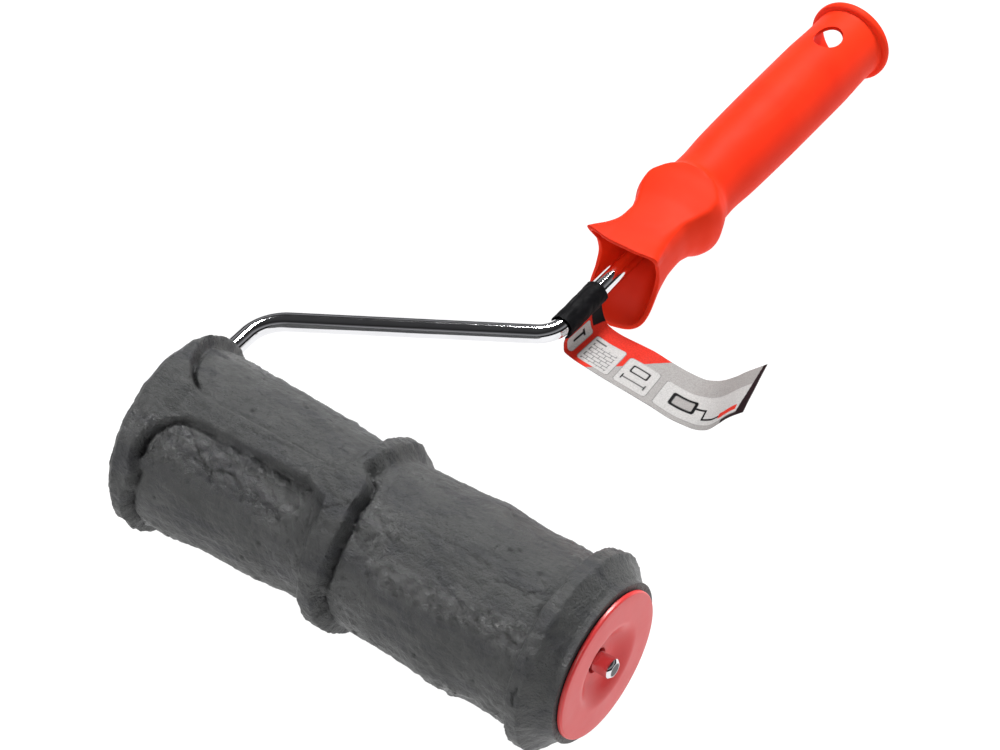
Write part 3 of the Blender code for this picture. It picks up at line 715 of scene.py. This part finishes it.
def cap_outline():
    """The cap from its hole outwards over the face, then back inside. The face is dished softly."""
    face = []
    for i in range(19):
        radius = CAP_HOLE_R + 0.5 + (DISH_R + 1.0 - CAP_HOLE_R - 0.5) * i / 18
        depth = DISH_DEPTH * (1.0 - float(smoothstep(radius, DISH_FLOOR_R - 1.0, DISH_R + 0.4)))
        face.append((radius, CAP_PLANE - depth))
    rim = []
    for i in range(7):
        turn = math.radians(15.0 * i)
        rim.append((CAP_R - 0.8 + 0.8 * math.sin(turn), CAP_PLANE - 0.8 + 0.8 * math.cos(turn)))
    back = CAP_PLANE - CAP_RIM
    floor = CAP_PLANE - DISH_DEPTH
    floor_back = floor - CAP_WALL
    inside = [(CAP_R, back + 0.3), (CAP_R - 0.3, back), (SKIRT_R, back)]
    inside += [(SKIRT_R, back - SKIRT_LENGTH), (SKIRT_R - CAP_WALL, back - SKIRT_LENGTH)]
    inside += [(SKIRT_R - CAP_WALL, back - 1.2), (DISH_R, back - 1.2)]
    inside += [(DISH_FLOOR_R + 1.5, floor_back - 0.6), (HUB_R, floor_back - 1.6)]
    inside += [(HUB_R, floor_back - HUB_LENGTH), (HUB_BORE_R, floor_back - HUB_LENGTH)]
    inside += [(HUB_BORE_R, floor_back), (CAP_HOLE_R, floor_back)]
    hole_edge = [(CAP_HOLE_R, floor - 0.5), (CAP_HOLE_R + 0.15, floor - 0.15)]
    return [*hole_edge, *face, (CAP_R - 4.0, CAP_PLANE), *rim, *inside]


def end_cap(name, side):
    outline = [(radius, side * x) for radius, x in cap_outline()]
    return turned(name, outline, 160)


def plain_ring(name, low, high, inner_r, outer_r, edge=0.2):
    outline = [(outer_r, high), (outer_r, low), (inner_r, low), (inner_r, high)]
    return turned(name, rounded(outline, edge), 96)


def roller_pieces(red, rubber, core, nylon):
    settle(rubber_sleeve(), "roller", rubber, "rubber_grey", "texture_sleeve")
    settle(end_cap("cap_outer", 1), "roller", red, "red_plastic", "outer_end_cap")
    settle(end_cap("cap_inner", -1), "roller", red, "red_plastic", "inner_end_cap")
    tube = plain_ring("core_pipe", -SLEEVE_END, SLEEVE_END, CORE_BORE_R, CORE_R, 0.3)
    settle(tube, "roller", core, "core_plastic", "core_tube")
    high = CAP_PLANE - DISH_DEPTH - CAP_WALL - 5.0
    low = high - BUSH_LENGTH
    for name, ends, node in (
        ("bush_outer", (low, high), "outer_bearing_bush"),
        ("bush_inner", (-high, -low), "inner_bearing_bush"),
    ):
        bush = plain_ring(name, *ends, ROD_R + GAP, BUSH_R, 0.4)
        settle(bush, "roller", nylon, "nylon_white", node)
    return high


def stack_pieces(steel, bush_end):
    """The washers, clip and collar, which stay still on the rod. Returns where the clip's groove lies."""
    washer_low = bush_end + GAP
    clip_low = washer_low + WASHER_THICKNESS + GAP
    inner_high = DISH_DEPTH - CAP_PLANE - GAP
    collar_high = inner_high - WASHER_THICKNESS - GAP
    washer = (WASHER_THICKNESS, ROD_R + GAP, WASHER_R)
    clip = (CLIP_THICKNESS, CLIP_BORE_R, CLIP_R)
    collar = (COLLAR_THICKNESS, ROD_R + GAP, COLLAR_R)
    for name, low, (thickness, bore_r, outer_r), node in (
        ("washer_outer", washer_low, washer, "outer_thrust_washer"),
        ("push_clip", clip_low, clip, "retaining_clip"),
        ("washer_inner", inner_high - WASHER_THICKNESS, washer, "inner_thrust_washer"),
        ("stop_collar", collar_high - COLLAR_THICKNESS, collar, "inner_stop_collar"),
    ):
        piece = plain_ring(name, low, low + thickness, bore_r, outer_r, 0.15)
        settle(piece, "frame", steel, "spring_steel", node)
    return clip_low - GAP, clip_low + CLIP_THICKNESS + GAP


# ---- Rod ----
ROD_TIP = 103.2
ROD_CHAMFER = 0.9
GROOVE_R = 3.4
HANDLE_X = -11.0
STEM_END = 304.0
ROD_CORNERS = ((-107.0, 0.0), (-107.0, 67.0), (HANDLE_X, 128.4))
ROD_BENDS = (8.0, 19.0, 13.0)
ROD_SIDES = 48
# The sheared end face has no chrome, so it is rougher. Its colour is also darkened far below bare steel, as
# painted shade.
RAW_SHADE_RINGS = 2
BEND_STEPS = 28
BEND_FLATTENING = 0.05


def rod_path(start_x):
    """(centre, direction, bend) along the rod after its groove. Bend is 0 on straight runs."""
    corners = [Vector((start_x, 0.0)), *map(Vector, ROD_CORNERS), Vector((HANDLE_X, STEM_END))]
    path = [(corners[0], (corners[1] - corners[0]).normalized(), 0.0)]
    for before, corner, after, radius in zip(corners, corners[1:], corners[2:], ROD_BENDS):
        back, ahead = (before - corner).normalized(), (after - corner).normalized()
        half = back.angle(ahead) / 2
        reach = radius / math.tan(half)
        centre = corner + (back + ahead).normalized() * (radius / math.sin(half))
        first = corner + back * reach - centre
        turn = math.pi - 2 * half
        way = 1.0 if (-back).cross(ahead) > 0 else -1.0
        for i in range(BEND_STEPS + 1):
            share = i / BEND_STEPS
            spin = Matrix.Rotation(way * turn * share, 2)
            path.append((centre + spin @ first, spin @ -back, math.sin(math.pi * share)))
    path.append((corners[-1], (corners[-1] - corners[-2]).normalized(), 0.0))
    return path


def steel_rod(groove):
    rings = []
    turn = np.linspace(0.0, math.tau, ROD_SIDES, endpoint=False)

    def add_ring(centre, direction, radius, bend=0.0):
        side = Vector((-direction.y, direction.x))
        in_plane = radius * (1.0 - BEND_FLATTENING * bend) * np.cos(turn)
        rings.append(np.stack([
            centre.x + side.x * in_plane,
            centre.y + side.y * in_plane,
            radius * np.sin(turn),
        ], axis=1))

    inward = Vector((-1.0, 0.0))
    tip = [(ROD_TIP, 0.5), (ROD_TIP, 2.4)]
    tip += [(ROD_TIP - 0.02, ROD_R - ROD_CHAMFER - 0.15), (ROD_TIP - 0.15, ROD_R - ROD_CHAMFER)]
    tip += [(ROD_TIP - ROD_CHAMFER, ROD_R - 0.08), (ROD_TIP - ROD_CHAMFER - 0.3, ROD_R)]
    tip += [(groove[1], ROD_R), (groove[1] - 0.02, GROOVE_R)]
    tip += [(groove[0] + 0.02, GROOVE_R), (groove[0], ROD_R)]
    for x, radius in tip:
        add_ring(Vector((x, 0.0)), inward, radius)
    for centre, direction, bend in rod_path(groove[0] - 1.0):
        add_ring(centre, direction, ROD_R, bend)
    raw_and_shade = np.zeros((len(rings), ROD_SIDES))
    raw_and_shade[:RAW_SHADE_RINGS] = 1.0
    return grid_object("steel_rod", np.array(rings), capped=True, keep={"raw_and_shade": raw_and_shade.ravel()})


# ---- Handle ----
HANDLE_END = 358.4
FLANGE_R = 18.7
# Sections: y, half width, depth below the axis, height above it,
# facet height at its edges, facet crown, power of the section's superellipse
HANDLE_SECTIONS = (
    (170.0, 16.2, 28.3, 18.0, 12.9, 0.2, 3.3),
    (177.0, 15.4, 26.0, 16.7, 12.0, 0.4, 3.9),
    (186.0, 14.3, 20.6, 15.0, 10.8, 0.8, 2.8),
    (194.0, 13.8, 16.8, 14.6, 9.9, 1.2, 2.4),
    (202.0, 13.9, 15.6, 14.6, 9.4, 1.6, 2.3),
    (209.0, 15.6, 16.2, 16.6, 9.5, 2.2, 2.3),
    (216.0, 18.6, 19.6, 19.2, 10.4, 2.9, 2.3),
    (221.0, 19.2, 21.2, 20.0, 11.3, 3.4, 2.3),
    (226.0, 17.8, 20.4, 18.6, 12.2, 3.8, 2.2),
    (233.0, 15.4, 16.8, 15.6, 16.0, 4.0, 2.0),
    (241.0, 15.2, 15.6, 15.3, 30.0, 0.0, 2.0),
    (256.0, 16.0, 16.2, 16.0, 30.0, 0.0, 2.0),
    (290.0, 16.6, 16.7, 16.6, 30.0, 0.0, 2.0),
    (325.0, 16.7, 16.7, 16.7, 30.0, 0.0, 2.0),
    (347.0, 16.1, 16.1, 16.1, 30.0, 0.0, 2.0),
    (370.0, 16.1, 16.1, 16.1, 30.0, 0.0, 2.0),
)
MOUTH_EDGE = (
    (-90.0, 171.0), (-72.0, 172.8), (-48.0, 177.2), (-33.0, 180.8), (-10.0, 182.4),
    (20.0, 180.6), (36.0, 177.6), (60.0, 176.6), (90.0, 176.4),
)
MOUTH_BLEND = 200.0
HANDLE_SIDES = 144
EAR_ANGLE = 36.0
EAR_SPREAD = 13.0
EAR_SIZES = {"near": 0.07, "far": 0.24}
EAR_LIFT = 0.5
EAR_END = 196.0
FACET_SOFT = 3.5
FACET_FADE = (184.0, 206.0)
LIP_WALL = 1.8
CAVITY_WALL = 2.4
CAVITY_END = 306.0
WEB_END = 309.0
BUTT_BORE_R = 14.4
SOCKET_R = 7.0
SOCKET_START = 228.0
RIB_THICKNESS = 2.2
FLANGE_START = 354.0
FLANGE_ROUND = 1.6
HANG_HOLE_Y = 335.0
HANG_HOLE_HALF = (5.7, 7.6)
# The hole's eased edge, from outside in, as (how far it is spread, height over the surface)
HANG_HOLE_EDGE = ((1.6, 1.1), (0.45, 0.0), (0.12, -0.16), (0.0, -0.5))
PANEL_ENDS = (252.0, 320.0)
PANEL_HALF_ANGLE = 30.0
PANEL_DEPTH = 0.13


@lru_cache(maxsize=None)
def section_at(y):
    """Half width, depth, height, facet, crown and power of the handle's section at y."""
    rows = np.array(HANDLE_SECTIONS)
    return tuple(float(through(rows[:, (0, column)], y)) for column in range(1, 7))


def rim_y(angle):
    return float(through(MOUTH_EDGE, math.degrees(math.asin(math.sin(angle)))))


def ear(angle, y):
    """How much the two upper corners of the mouth reach out, each with a blunt end."""
    degrees = math.degrees(angle) % 360
    fade = 1.0 - float(smoothstep(y, 174.0, EAR_END))
    reach = EAR_SIZES["near"] * math.exp(-(((degrees - EAR_ANGLE) / EAR_SPREAD) ** 4))
    reach += EAR_SIZES["far"] * math.exp(-(((degrees - 180 + EAR_ANGLE) / EAR_SPREAD) ** 4))
    return 1.0 + fade * reach


def soft_min(a, b, width):
    share = min(max(0.5 + (b - a) / (2 * width), 0.0), 1.0)
    return b * (1 - share) + a * share - width * share * (1 - share) * 0.5


def thumb_panel(angle, y):
    """Depth of the shallow oval panel on top of the grip."""
    middle, half = sum(PANEL_ENDS) / 2, (PANEL_ENDS[1] - PANEL_ENDS[0]) / 2
    off = math.hypot((y - middle) / half, (math.degrees(angle) - 90.0) / PANEL_HALF_ANGLE)
    return PANEL_DEPTH * (1.0 - float(smoothstep(off, 0.80, 1.08)))


def handle_reach(angle, y, inset=0.0):
    """Distance from the handle's axis to its surface at an angle, from +X towards +Z."""
    half_width, below, above, facet, crown, power = section_at(y)
    half_width, below, above, facet = (v - inset for v in (half_width, below, above, facet))
    cosine, sine = math.cos(angle), math.sin(angle)
    height = above if sine > 0 else below
    reach = (abs(cosine / half_width) ** power + abs(sine / height) ** power) ** (-1.0 / power)
    reach *= ear(angle, y)
    if sine > 0.05:
        curve = crown * (cosine / half_width) ** 2
        top = facet + crown
        limit = top / sine
        if curve > 1e-9:
            limit = (math.sqrt(sine * sine + 4 * curve * top) - sine) / (2 * curve)
        limit *= 1.0 + EAR_LIFT * (ear(angle, y) - 1.0)
        fade = FACET_SOFT * (1.0 - float(smoothstep(y, *FACET_FADE)))
        reach = soft_min(reach, limit, 1.0 + fade)
    if inset == 0.0:
        reach -= thumb_panel(angle, y)
    return reach


def section_ring(station, inset=0.0, forward=0.0):
    """One ring of the handle. A station is a y, or a share from the mouth's rim back to the blend."""
    ring = []
    for i in range(HANDLE_SIDES):
        angle = math.tau * i / HANDLE_SIDES
        y = station
        if station <= 1.0:
            start = rim_y(angle) - forward
            y = start + (MOUTH_BLEND - start) * station
        reach = handle_reach(angle, round(y, 3), inset)
        ring.append((HANDLE_X + reach * math.cos(angle), y, reach * math.sin(angle)))
    return ring


def circle_ring(y, radius):
    turns = [math.tau * i / HANDLE_SIDES for i in range(HANDLE_SIDES)]
    return [(HANDLE_X + radius * math.cos(a), y, radius * math.sin(a)) for a in turns]


def arc_steps(count):
    return [math.radians(90.0 * i / count) for i in range(count + 1)]


def butt_rings():
    """From the web inside the butt, out over its end and the flange, to the grip's neck."""
    front = FLANGE_START + 0.4
    neck = section_at(FLANGE_START)[0]
    outline = [(y, BUTT_BORE_R) for y in (WEB_END, 325.0, 340.0, HANDLE_END - 0.8)]
    for a in arc_steps(4)[1:]:
        outline.append((HANDLE_END - 0.8 + 0.8 * math.sin(a), BUTT_BORE_R + 0.8 * (1 - math.cos(a))))
    for a in arc_steps(6):
        back = FLANGE_ROUND * (1 - math.cos(a))
        outline.append((HANDLE_END - back, FLANGE_R - FLANGE_ROUND * (1 - math.sin(a))))
    for a in arc_steps(6):
        ahead = FLANGE_ROUND * (1 - math.sin(a))
        outline.append((front + ahead, FLANGE_R - FLANGE_ROUND * (1 - math.cos(a))))
    outline += [(front, neck + 0.5), (front - 0.4, neck + 0.15), (front - 1.2, neck)]
    return [circle_ring(y, radius) for y, radius in outline]


def grip_rings():
    stations = np.concatenate([np.arange(351.0, 245.0, -2.5), np.arange(244.5, MOUTH_BLEND + 0.5, -1.2)])
    return [section_ring(float(y)) for y in stations]


def mouth_rings():
    """The flared mouth: outside, round its lip, and inside as far as the hollow's end."""
    rings = [section_ring(1.0 - i / 24) for i in range(24)]
    for i in range(7):
        turn = math.pi * i / 6
        rings.append(section_ring(0.0, LIP_WALL * 0.5 * (1 - math.cos(turn)), 0.45 * math.sin(turn)))
    rings += [section_ring(i / 12, LIP_WALL) for i in range(1, 13)]
    rings += [section_ring(float(y), LIP_WALL + 0.5) for y in np.arange(203.0, 236.0, 3.0)]
    hollow = (244.0, 256.0, 270.0, 288.0, CAVITY_END)
    return rings + [circle_ring(y, section_at(y)[0] - CAVITY_WALL) for y in hollow]


def stem_grip():
    """The tube and cross ribs inside the hollow that hold the rod's stem."""
    low, high = SOCKET_START, CAVITY_END + 1.5
    tube = along_y("stem_tube", SOCKET_R, low, high)
    ribs = []
    for name, half_x, half_z in (("rib_flat", 1.0, 0.0), ("rib_upright", 0.0, 1.0)):
        rings = []
        for y in np.linspace(low, high, 14):
            reach = max(section_at(float(y))[0] - 1.3, 0.0)
            half = (max(half_x * reach, RIB_THICKNESS / 2), max(half_z * reach, RIB_THICKNESS / 2))
            corners = ((-1, -1), (1, -1), (1, 1), (-1, 1))
            rings.append([(HANDLE_X + u * half[0], y, v * half[1]) for u, v in corners])
        ribs.append(grid_object(name, np.array(rings), capped=True))
    return cut(tube, *ribs, operation="UNION")


def along_y(name, radius, low, high, sides=64):
    turn = np.linspace(0.0, math.tau, sides, endpoint=False)
    rings = [
        np.stack([HANDLE_X + radius * np.cos(turn), np.full(sides, y), radius * np.sin(turn)], axis=1)
        for y in (low, high)
    ]
    return grid_object(name, np.array(rings), capped=True)


def hang_cutter():
    """An oval bar through both walls, spread at the outer surface so that the hole's edge is eased."""
    turn = np.linspace(0.0, math.tau, 72, endpoint=False)
    outer_r = section_at(HANG_HOLE_Y)[0]

    def ring(spread, rise):
        x = (HANG_HOLE_HALF[0] + spread) * np.cos(turn)
        y = HANG_HOLE_Y + (HANG_HOLE_HALF[1] + spread) * np.sin(turn)
        height = np.sqrt(outer_r**2 - x**2) + rise
        return x, y, height

    rings = []
    for sign, steps in ((1, HANG_HOLE_EDGE), (-1, HANG_HOLE_EDGE[::-1])):
        for spread, rise in steps:
            x, y, height = ring(spread, rise)
            rings.append(np.stack([HANDLE_X + x, y, sign * height], axis=1))
    return grid_object("hang_cutter", np.array(rings), capped=True)


def plastic_handle():
    rings = [*butt_rings(), *grip_rings(), *mouth_rings()]
    handle = grid_object("plastic_handle", np.array(rings), capped=True)
    cut(handle, stem_grip(), operation="UNION")
    bore = along_y("stem_bore", ROD_R + GAP, SOCKET_START - 10.0, STEM_END + 1.0)
    return cut(handle, bore, hang_cutter())


# ---- Label ----
LABEL_Y = (134.0, 159.0)
LABEL_WIDTH = LABEL_Y[1] - LABEL_Y[0]
# The paper that goes round the rod
LABEL_THICKNESS = 0.3
WRAP_R = 4.55
# The flag's two edges, as x from the stem and z
LOWER_EDGE = (
    (2.0, -5.6), (1.5, -8.6), (1.8, -12.4), (7.1, -14.4), (15.3, -15.6), (28.6, -17.1), (42.8, -18.6),
    (53.2, -20.1), (61.5, -19.5), (68.2, -16.5), (73.0, -10.5), (77.0, -4.9), (83.8, 2.8),
)
UPPER_EDGE = (
    (2.4, -5.4), (3.4, -9.8), (6.6, -15.2), (14.4, -16.8), (26.4, -16.7), (36.0, -18.0), (45.5, -18.7),
    (51.5, -18.4), (58.5, -15.4), (65.6, -9.0), (70.0, -3.8), (74.4, 1.0), (78.9, 5.9),
)
PAPER_WHITE = (0.58, 0.57, 0.56)
PAPER_GREY = (0.40, 0.385, 0.375)
PRINT_RED = (0.72, 0.034, 0.018)
PRINT_BLACK = (0.006, 0.006, 0.007)
PRINT_DARK = (0.014, 0.006, 0.008)
PRINT_LINE = (0.05, 0.05, 0.055)
BRICK_LENGTH = 3.6
BRICK_HEIGHT = 1.75
# Printed boxes and generic marks, as centre and half size in mm along and across the flag
PANELS = (
    ((5.5, 9.5), (3.3, 7.4)),
    ((18.5, 9.8), (7.3, 7.7)),
    ((35.6, 9.3), (7.4, 7.2)),
    ((71.0, 9.0), (24.6, 6.9)),
)
MARKS = (
    ((5.6, 9.5), (0.6, 3.6), PRINT_BLACK),
    ((5.6, 12.6), (1.7, 0.6), PRINT_BLACK),
    ((14.6, 15.2), (2.6, 0.35), PRINT_LINE),
    ((35.6, 6.0), (5.4, 0.30), PRINT_BLACK),
    ((30.4, 6.0), (0.30, 1.5), PRINT_BLACK),
    ((40.8, 6.0), (0.30, 1.5), PRINT_BLACK),
    ((35.6, 11.8), (4.2, 2.1), PRINT_BLACK),
    ((35.6, 11.8), (3.4, 1.4), PAPER_WHITE),
    ((57.5, 9.2), (6.0, 3.4), PRINT_BLACK),
    ((57.5, 9.2), (4.6, 2.2), PAPER_GREY),
    ((66.0, 9.2), (2.6, 0.45), PRINT_BLACK),
    ((68.4, 7.0), (0.45, 2.6), PRINT_BLACK),
    ((73.4, 4.8), (5.2, 0.45), PRINT_BLACK),
    ((84.0, 4.8), (6.0, 1.3), PRINT_RED),
)
FLAG_STEPS = 330
ACROSS_STEPS = 80
WRAP_STEPS = 90


def edge_line(edge, count):
    """Evenly spaced points on one edge of the flag, as (x, z) from the stem, and its length."""
    steps = np.arange(len(edge))
    fine = np.linspace(0, len(edge) - 1, 900)
    edge = np.array(edge)
    line = np.stack([through(np.stack([steps, edge[:, k]], axis=1), fine) for k in (0, 1)], axis=1)
    run = np.concatenate([[0.0], np.cumsum(np.linalg.norm(np.diff(line, axis=0), axis=1))])
    even = np.linspace(0.0, run[-1], count)
    return np.stack([np.interp(even, run, line[:, k]) for k in (0, 1)], axis=1), run[-1]


def in_box(u, v, centre, half, corner=1.2, soft=0.12):
    """1 inside a printed box with round corners, 0 outside."""
    a = np.abs(u - centre[0]) - half[0] + corner
    b = np.abs(v - centre[1]) - half[1] + corner
    out = np.hypot(np.maximum(a, 0), np.maximum(b, 0)) + np.minimum(np.maximum(a, b), 0) - corner
    return 1.0 - smoothstep(out, -soft, soft)


def printed(u, v):
    """Colour of the print at u mm along the flag and v mm across it, from its lower edge."""
    def paint(base, colour, share):
        return base + (np.array(colour) - base) * share[..., None]

    picture = np.broadcast_to(np.array(PAPER_GREY), (*u.shape, 3)).copy()
    red = 1.0 - smoothstep(u - 17.3 - 1.03 * v, -0.15, 0.15)
    picture = paint(picture, PRINT_RED, red)
    for centre, half in PANELS:
        picture = paint(picture, PRINT_LINE, in_box(u, v, centre, (half[0] + 0.16, half[1] + 0.16), 1.5))
        picture = paint(picture, PAPER_WHITE, in_box(u, v, centre, half, 1.35))
    for centre, half, colour in MARKS:
        picture = paint(picture, colour, in_box(u, v, centre, half, min(half) * 0.35))
    bricks = brick_lines(u, v) * in_box(u, v, (18.2, 8.2), (5.8, 5.2), 0.2)
    picture = paint(picture, PRINT_LINE, 0.8 * bricks)
    corner = 1.0 - smoothstep(u - 8.5 + (LABEL_WIDTH - v) * 0.3, -0.15, 0.15)
    picture = paint(picture, PRINT_BLACK, corner * smoothstep(v, 18.0, 18.3))
    strip_start = FLAG_LENGTH - 5.6 + 0.14 * v
    strip = smoothstep(u - strip_start, 0.0, 0.2)
    foot = smoothstep(u, FLAG_LENGTH - 15.0, FLAG_LENGTH - 14.8) * (1.0 - smoothstep(v, 1.5, 1.7))
    return paint(picture, PRINT_DARK, np.maximum(strip, foot))


def brick_lines(u, v):
    """A generic picture of brickwork: 1 on its joints."""
    row = np.floor(v / BRICK_HEIGHT)
    across = (u / BRICK_LENGTH + 0.5 * (row % 2)) % 1.0
    up = (v / BRICK_HEIGHT) % 1.0
    return np.maximum(across < 0.10, up < 0.20).astype(float)


FLAG_LENGTH = (edge_line(LOWER_EDGE, 2)[1] + edge_line(UPPER_EDGE, 2)[1]) / 2


def wrap_points(share):
    """Middle line of the paper round the rod: it leaves the flag's root and goes once round."""
    start, total = math.radians(-68.0), math.radians(330.0)
    along = np.linspace(1.0, 0.0, WRAP_STEPS)
    turn = start + total * along
    radius = WRAP_R + 0.16 * np.abs(np.sin(2.5 * turn + 1.4 * share)) + 0.25 * (1.0 - along) ** 3
    spots = np.stack([2.4 * np.cos(turn), 2.4 * np.sin(turn), np.full(turn.shape, 7.0 * share)], axis=1)
    radius += 0.55 * creased_noise(spots, 2.4, 2, 95)
    return np.stack([radius * np.cos(turn), radius * np.sin(turn)], axis=1)


def paper_label():
    """One strip: first round the rod, then the free flag. Its middle surface is given a thickness."""
    lower, _ = edge_line(LOWER_EDGE, FLAG_STEPS)
    upper, _ = edge_line(UPPER_EDGE, FLAG_STEPS)
    shares = np.linspace(0.0, 1.0, ACROSS_STEPS)
    flag = lower[:, None] * (1.0 - shares[None, :, None]) + upper[:, None] * shares[None, :, None]
    wrap = np.stack([wrap_points(share) for share in shares], axis=1)
    root = np.linspace(0.0, 1.0, 8)[1:-1, None, None]
    bridge = wrap[-1][None] * (1.0 - root) + flag[0][None] * root
    middle = np.concatenate([wrap, bridge, flag])
    before_flag = np.full(len(wrap) + len(bridge), -1.0)
    along = np.concatenate([before_flag, np.linspace(0.0, FLAG_LENGTH, FLAG_STEPS)])
    y = LABEL_Y[0] + LABEL_WIDTH * shares
    rows = len(middle)
    points = np.empty((rows, ACROSS_STEPS, 3))
    points[..., 0] = HANDLE_X + middle[..., 0]
    points[..., 1] = y[None, :]
    points[..., 2] = middle[..., 1]
    u, v = np.meshgrid(along, LABEL_WIDTH * shares, indexing="ij")
    spots = np.stack([u, v, 0.0 * u], axis=2).reshape(-1, 3)
    waves = 0.22 * layered_noise(spots, 17.0, 2, 91).reshape(u.shape) * smoothstep(u, 4.0, 14.0)
    along_way = np.gradient(points, axis=0)
    across_way = np.gradient(points, axis=1)
    normal = np.cross(along_way, across_way)
    normal /= np.maximum(np.linalg.norm(normal, axis=2, keepdims=True), 1e-9)
    points += normal * waves[..., None]
    half = normal * LABEL_THICKNESS / 2
    colours = printed(u, v)
    colours[u < -0.5] = PRINT_BLACK
    back = np.broadcast_to(np.array(PAPER_GREY), colours.shape).copy()
    back[u < -0.5] = PRINT_BLACK
    print_up = normal[rows // 2, ACROSS_STEPS // 2, 2] > 0
    sides = (colours, back) if print_up else (back, colours)
    shell = np.concatenate([points + half, (points - half)[::-1]])
    paint = np.concatenate([sides[0], sides[1][::-1]])
    return sheet_object(shell, paint)


def sheet_object(shell, paint):
    """A thin closed sheet from its two faces, laid out as one loop of rows, with its side edges closed."""
    rows, columns = shell.shape[:2]
    half = rows // 2
    faces = grid_faces(rows, columns, True, False).tolist()
    for row in range(half - 1):
        mirror = rows - 1 - row
        for column in (0, columns - 1):
            quad = (row * columns + column, (row + 1) * columns + column)
            faces.append([*quad, (mirror - 1) * columns + column, mirror * columns + column])
    mesh = bpy.data.meshes.new("paper_label")
    mesh.from_pydata(to_row_frame(shell).tolist(), [], faces)
    add_values(mesh, "print", paint.reshape(-1, 3))
    finish_mesh(mesh, 60.0)
    return link_mesh("paper_label", mesh)


# ---- Studio ----
FLOOR_SIZE = 12.0
FLOOR_GLOW = 1.0
LIGHTS_AIM = (0.0, -0.05, 0.03)
# name, direction from the tool in its frame, distance, size, power, what it lights
LIGHTS = (
    ("key", (-0.17, 0.52, 0.84), 1.6, 0.38, 31.0, ("diffuse", "glossy")),
    ("front", (-0.42, -0.66, 0.62), 1.7, 0.45, 5.5, ("diffuse", "glossy")),
    ("sheen", (-0.40, -0.66, 0.64), 1.65, 0.34, 19.0, ("glossy",)),
    ("low", (-0.10, -0.97, 0.10), 1.7, 1.0, 4.5, ("diffuse",)),
    ("right", (0.72, 0.30, 0.62), 1.7, 1.0, 7.0, ("diffuse",)),
)
# Brightness of the room from the horizon to overhead, as (share of the way up, grey)
WORLD_BANDS = ((0.0, 0.020), (0.28, 0.020), (0.42, 0.34), (0.56, 0.16), (0.72, 0.015), (1.0, 0.05))


def add_studio():
    mesh = bpy.data.meshes.new("floor")
    half = FLOOR_SIZE / 2
    corners = [(-half, -half, 0.0), (half, -half, 0.0), (half, half, 0.0), (-half, half, 0.0)]
    mesh.from_pydata(corners, [], [(0, 1, 2, 3)])
    floor = link_mesh("floor", mesh)
    floor.location = (0.0, 0.0, -0.0002)
    look = Look("floor_white", Roughness=0.9)
    look.shader.inputs["Specular IOR Level"].default_value = 0.0
    look.shader.inputs["Emission Color"].default_value = (1.0, 1.0, 1.0, 1.0)
    look.shader.inputs["Emission Strength"].default_value = FLOOR_GLOW
    look.colour(look.mix(look.span(look.noise(400.0, 2.0), 0.3, 0.7, 0.0, 1.0), (0.10,) * 3, (0.12,) * 3))
    floor.data.materials.append(look.material)
    add_world()

    for name, direction, distance, size, power, lit in LIGHTS:
        data = bpy.data.lights.new(name, "AREA")
        data.shape = "SQUARE"
        data.size = size
        data.energy = power
        light = bpy.data.objects.new(name, data)
        bpy.context.scene.collection.objects.link(light)
        light.visible_glossy = "glossy" in lit
        light.visible_diffuse = "diffuse" in lit
        way = (PLACE.to_3x3() @ Vector(direction)).normalized()
        light.location = Vector(LIGHTS_AIM) + way * distance
        light.rotation_mode = "QUATERNION"
        light.rotation_quaternion = way.to_track_quat("Z", "Y")
    bpy.context.scene.view_settings.view_transform = "Standard"


def add_world():
    """A dark studio with one grey band of wall lights, and a plain white backdrop for the camera."""
    world = bpy.data.worlds.new("studio")
    world.use_nodes = True
    nodes, links = world.node_tree.nodes, world.node_tree.links
    place = nodes.new("ShaderNodeTexCoord")
    split = nodes.new("ShaderNodeSeparateXYZ")
    ramp = nodes.new("ShaderNodeValToRGB")
    links.new(place.outputs["Generated"], split.inputs["Vector"])
    links.new(split.outputs["Z"], ramp.inputs["Fac"])
    stops = ramp.color_ramp.elements
    while len(stops) < len(WORLD_BANDS):
        stops.new(1.0)
    for stop, (height, grey) in zip(stops, WORLD_BANDS):
        stop.position = height
        stop.color = (grey, grey, grey * 1.03, 1.0)
    shown = nodes.new("ShaderNodeMix")
    shown.data_type = "RGBA"
    seen = nodes.new("ShaderNodeLightPath").outputs["Is Camera Ray"]
    links.new(seen, shown.inputs["Factor"])
    links.new(ramp.outputs["Color"], shown.inputs["A"])
    shown.inputs["B"].default_value = (1.0, 1.0, 1.0, 1.0)
    links.new(shown.outputs["Result"], nodes["Background"].inputs["Color"])
    bpy.context.scene.world = world


# ---- Build ----
add_camera()
add_studio()
RED_LOOK = plastic_look("red_plastic", RED_DEEP, RED, 0.55)
CAP_LOOK = plastic_look("cap_plastic", CAP_RED_DEEP, CAP_RED, 0.34, 0.55)
CORE_LOOK = plastic_look("core_plastic", (0.62, 0.62, 0.60), (0.72, 0.72, 0.70), 0.5)
NYLON_LOOK = plastic_look("nylon_white", (0.74, 0.73, 0.68), (0.82, 0.81, 0.76), 0.42)
STEEL_LOOK = metal_look("spring_steel", (0.46, 0.46, 0.47), 0.32, 0.02)
CHROME_LOOK = metal_look("chrome", (0.80, 0.80, 0.82), 0.07, 0.004)

BUSH_END = roller_pieces(CAP_LOOK, rubber_look(), CORE_LOOK, NYLON_LOOK)
GROOVE = stack_pieces(STEEL_LOOK, BUSH_END)
settle(steel_rod(GROOVE), "frame", CHROME_LOOK, "chrome", "frame_rod")
settle(plastic_handle(), "frame", RED_LOOK, "red_plastic", "handle_body")
LABEL = settle(paper_label(), "frame", paper_look(), "label_paper", "label")
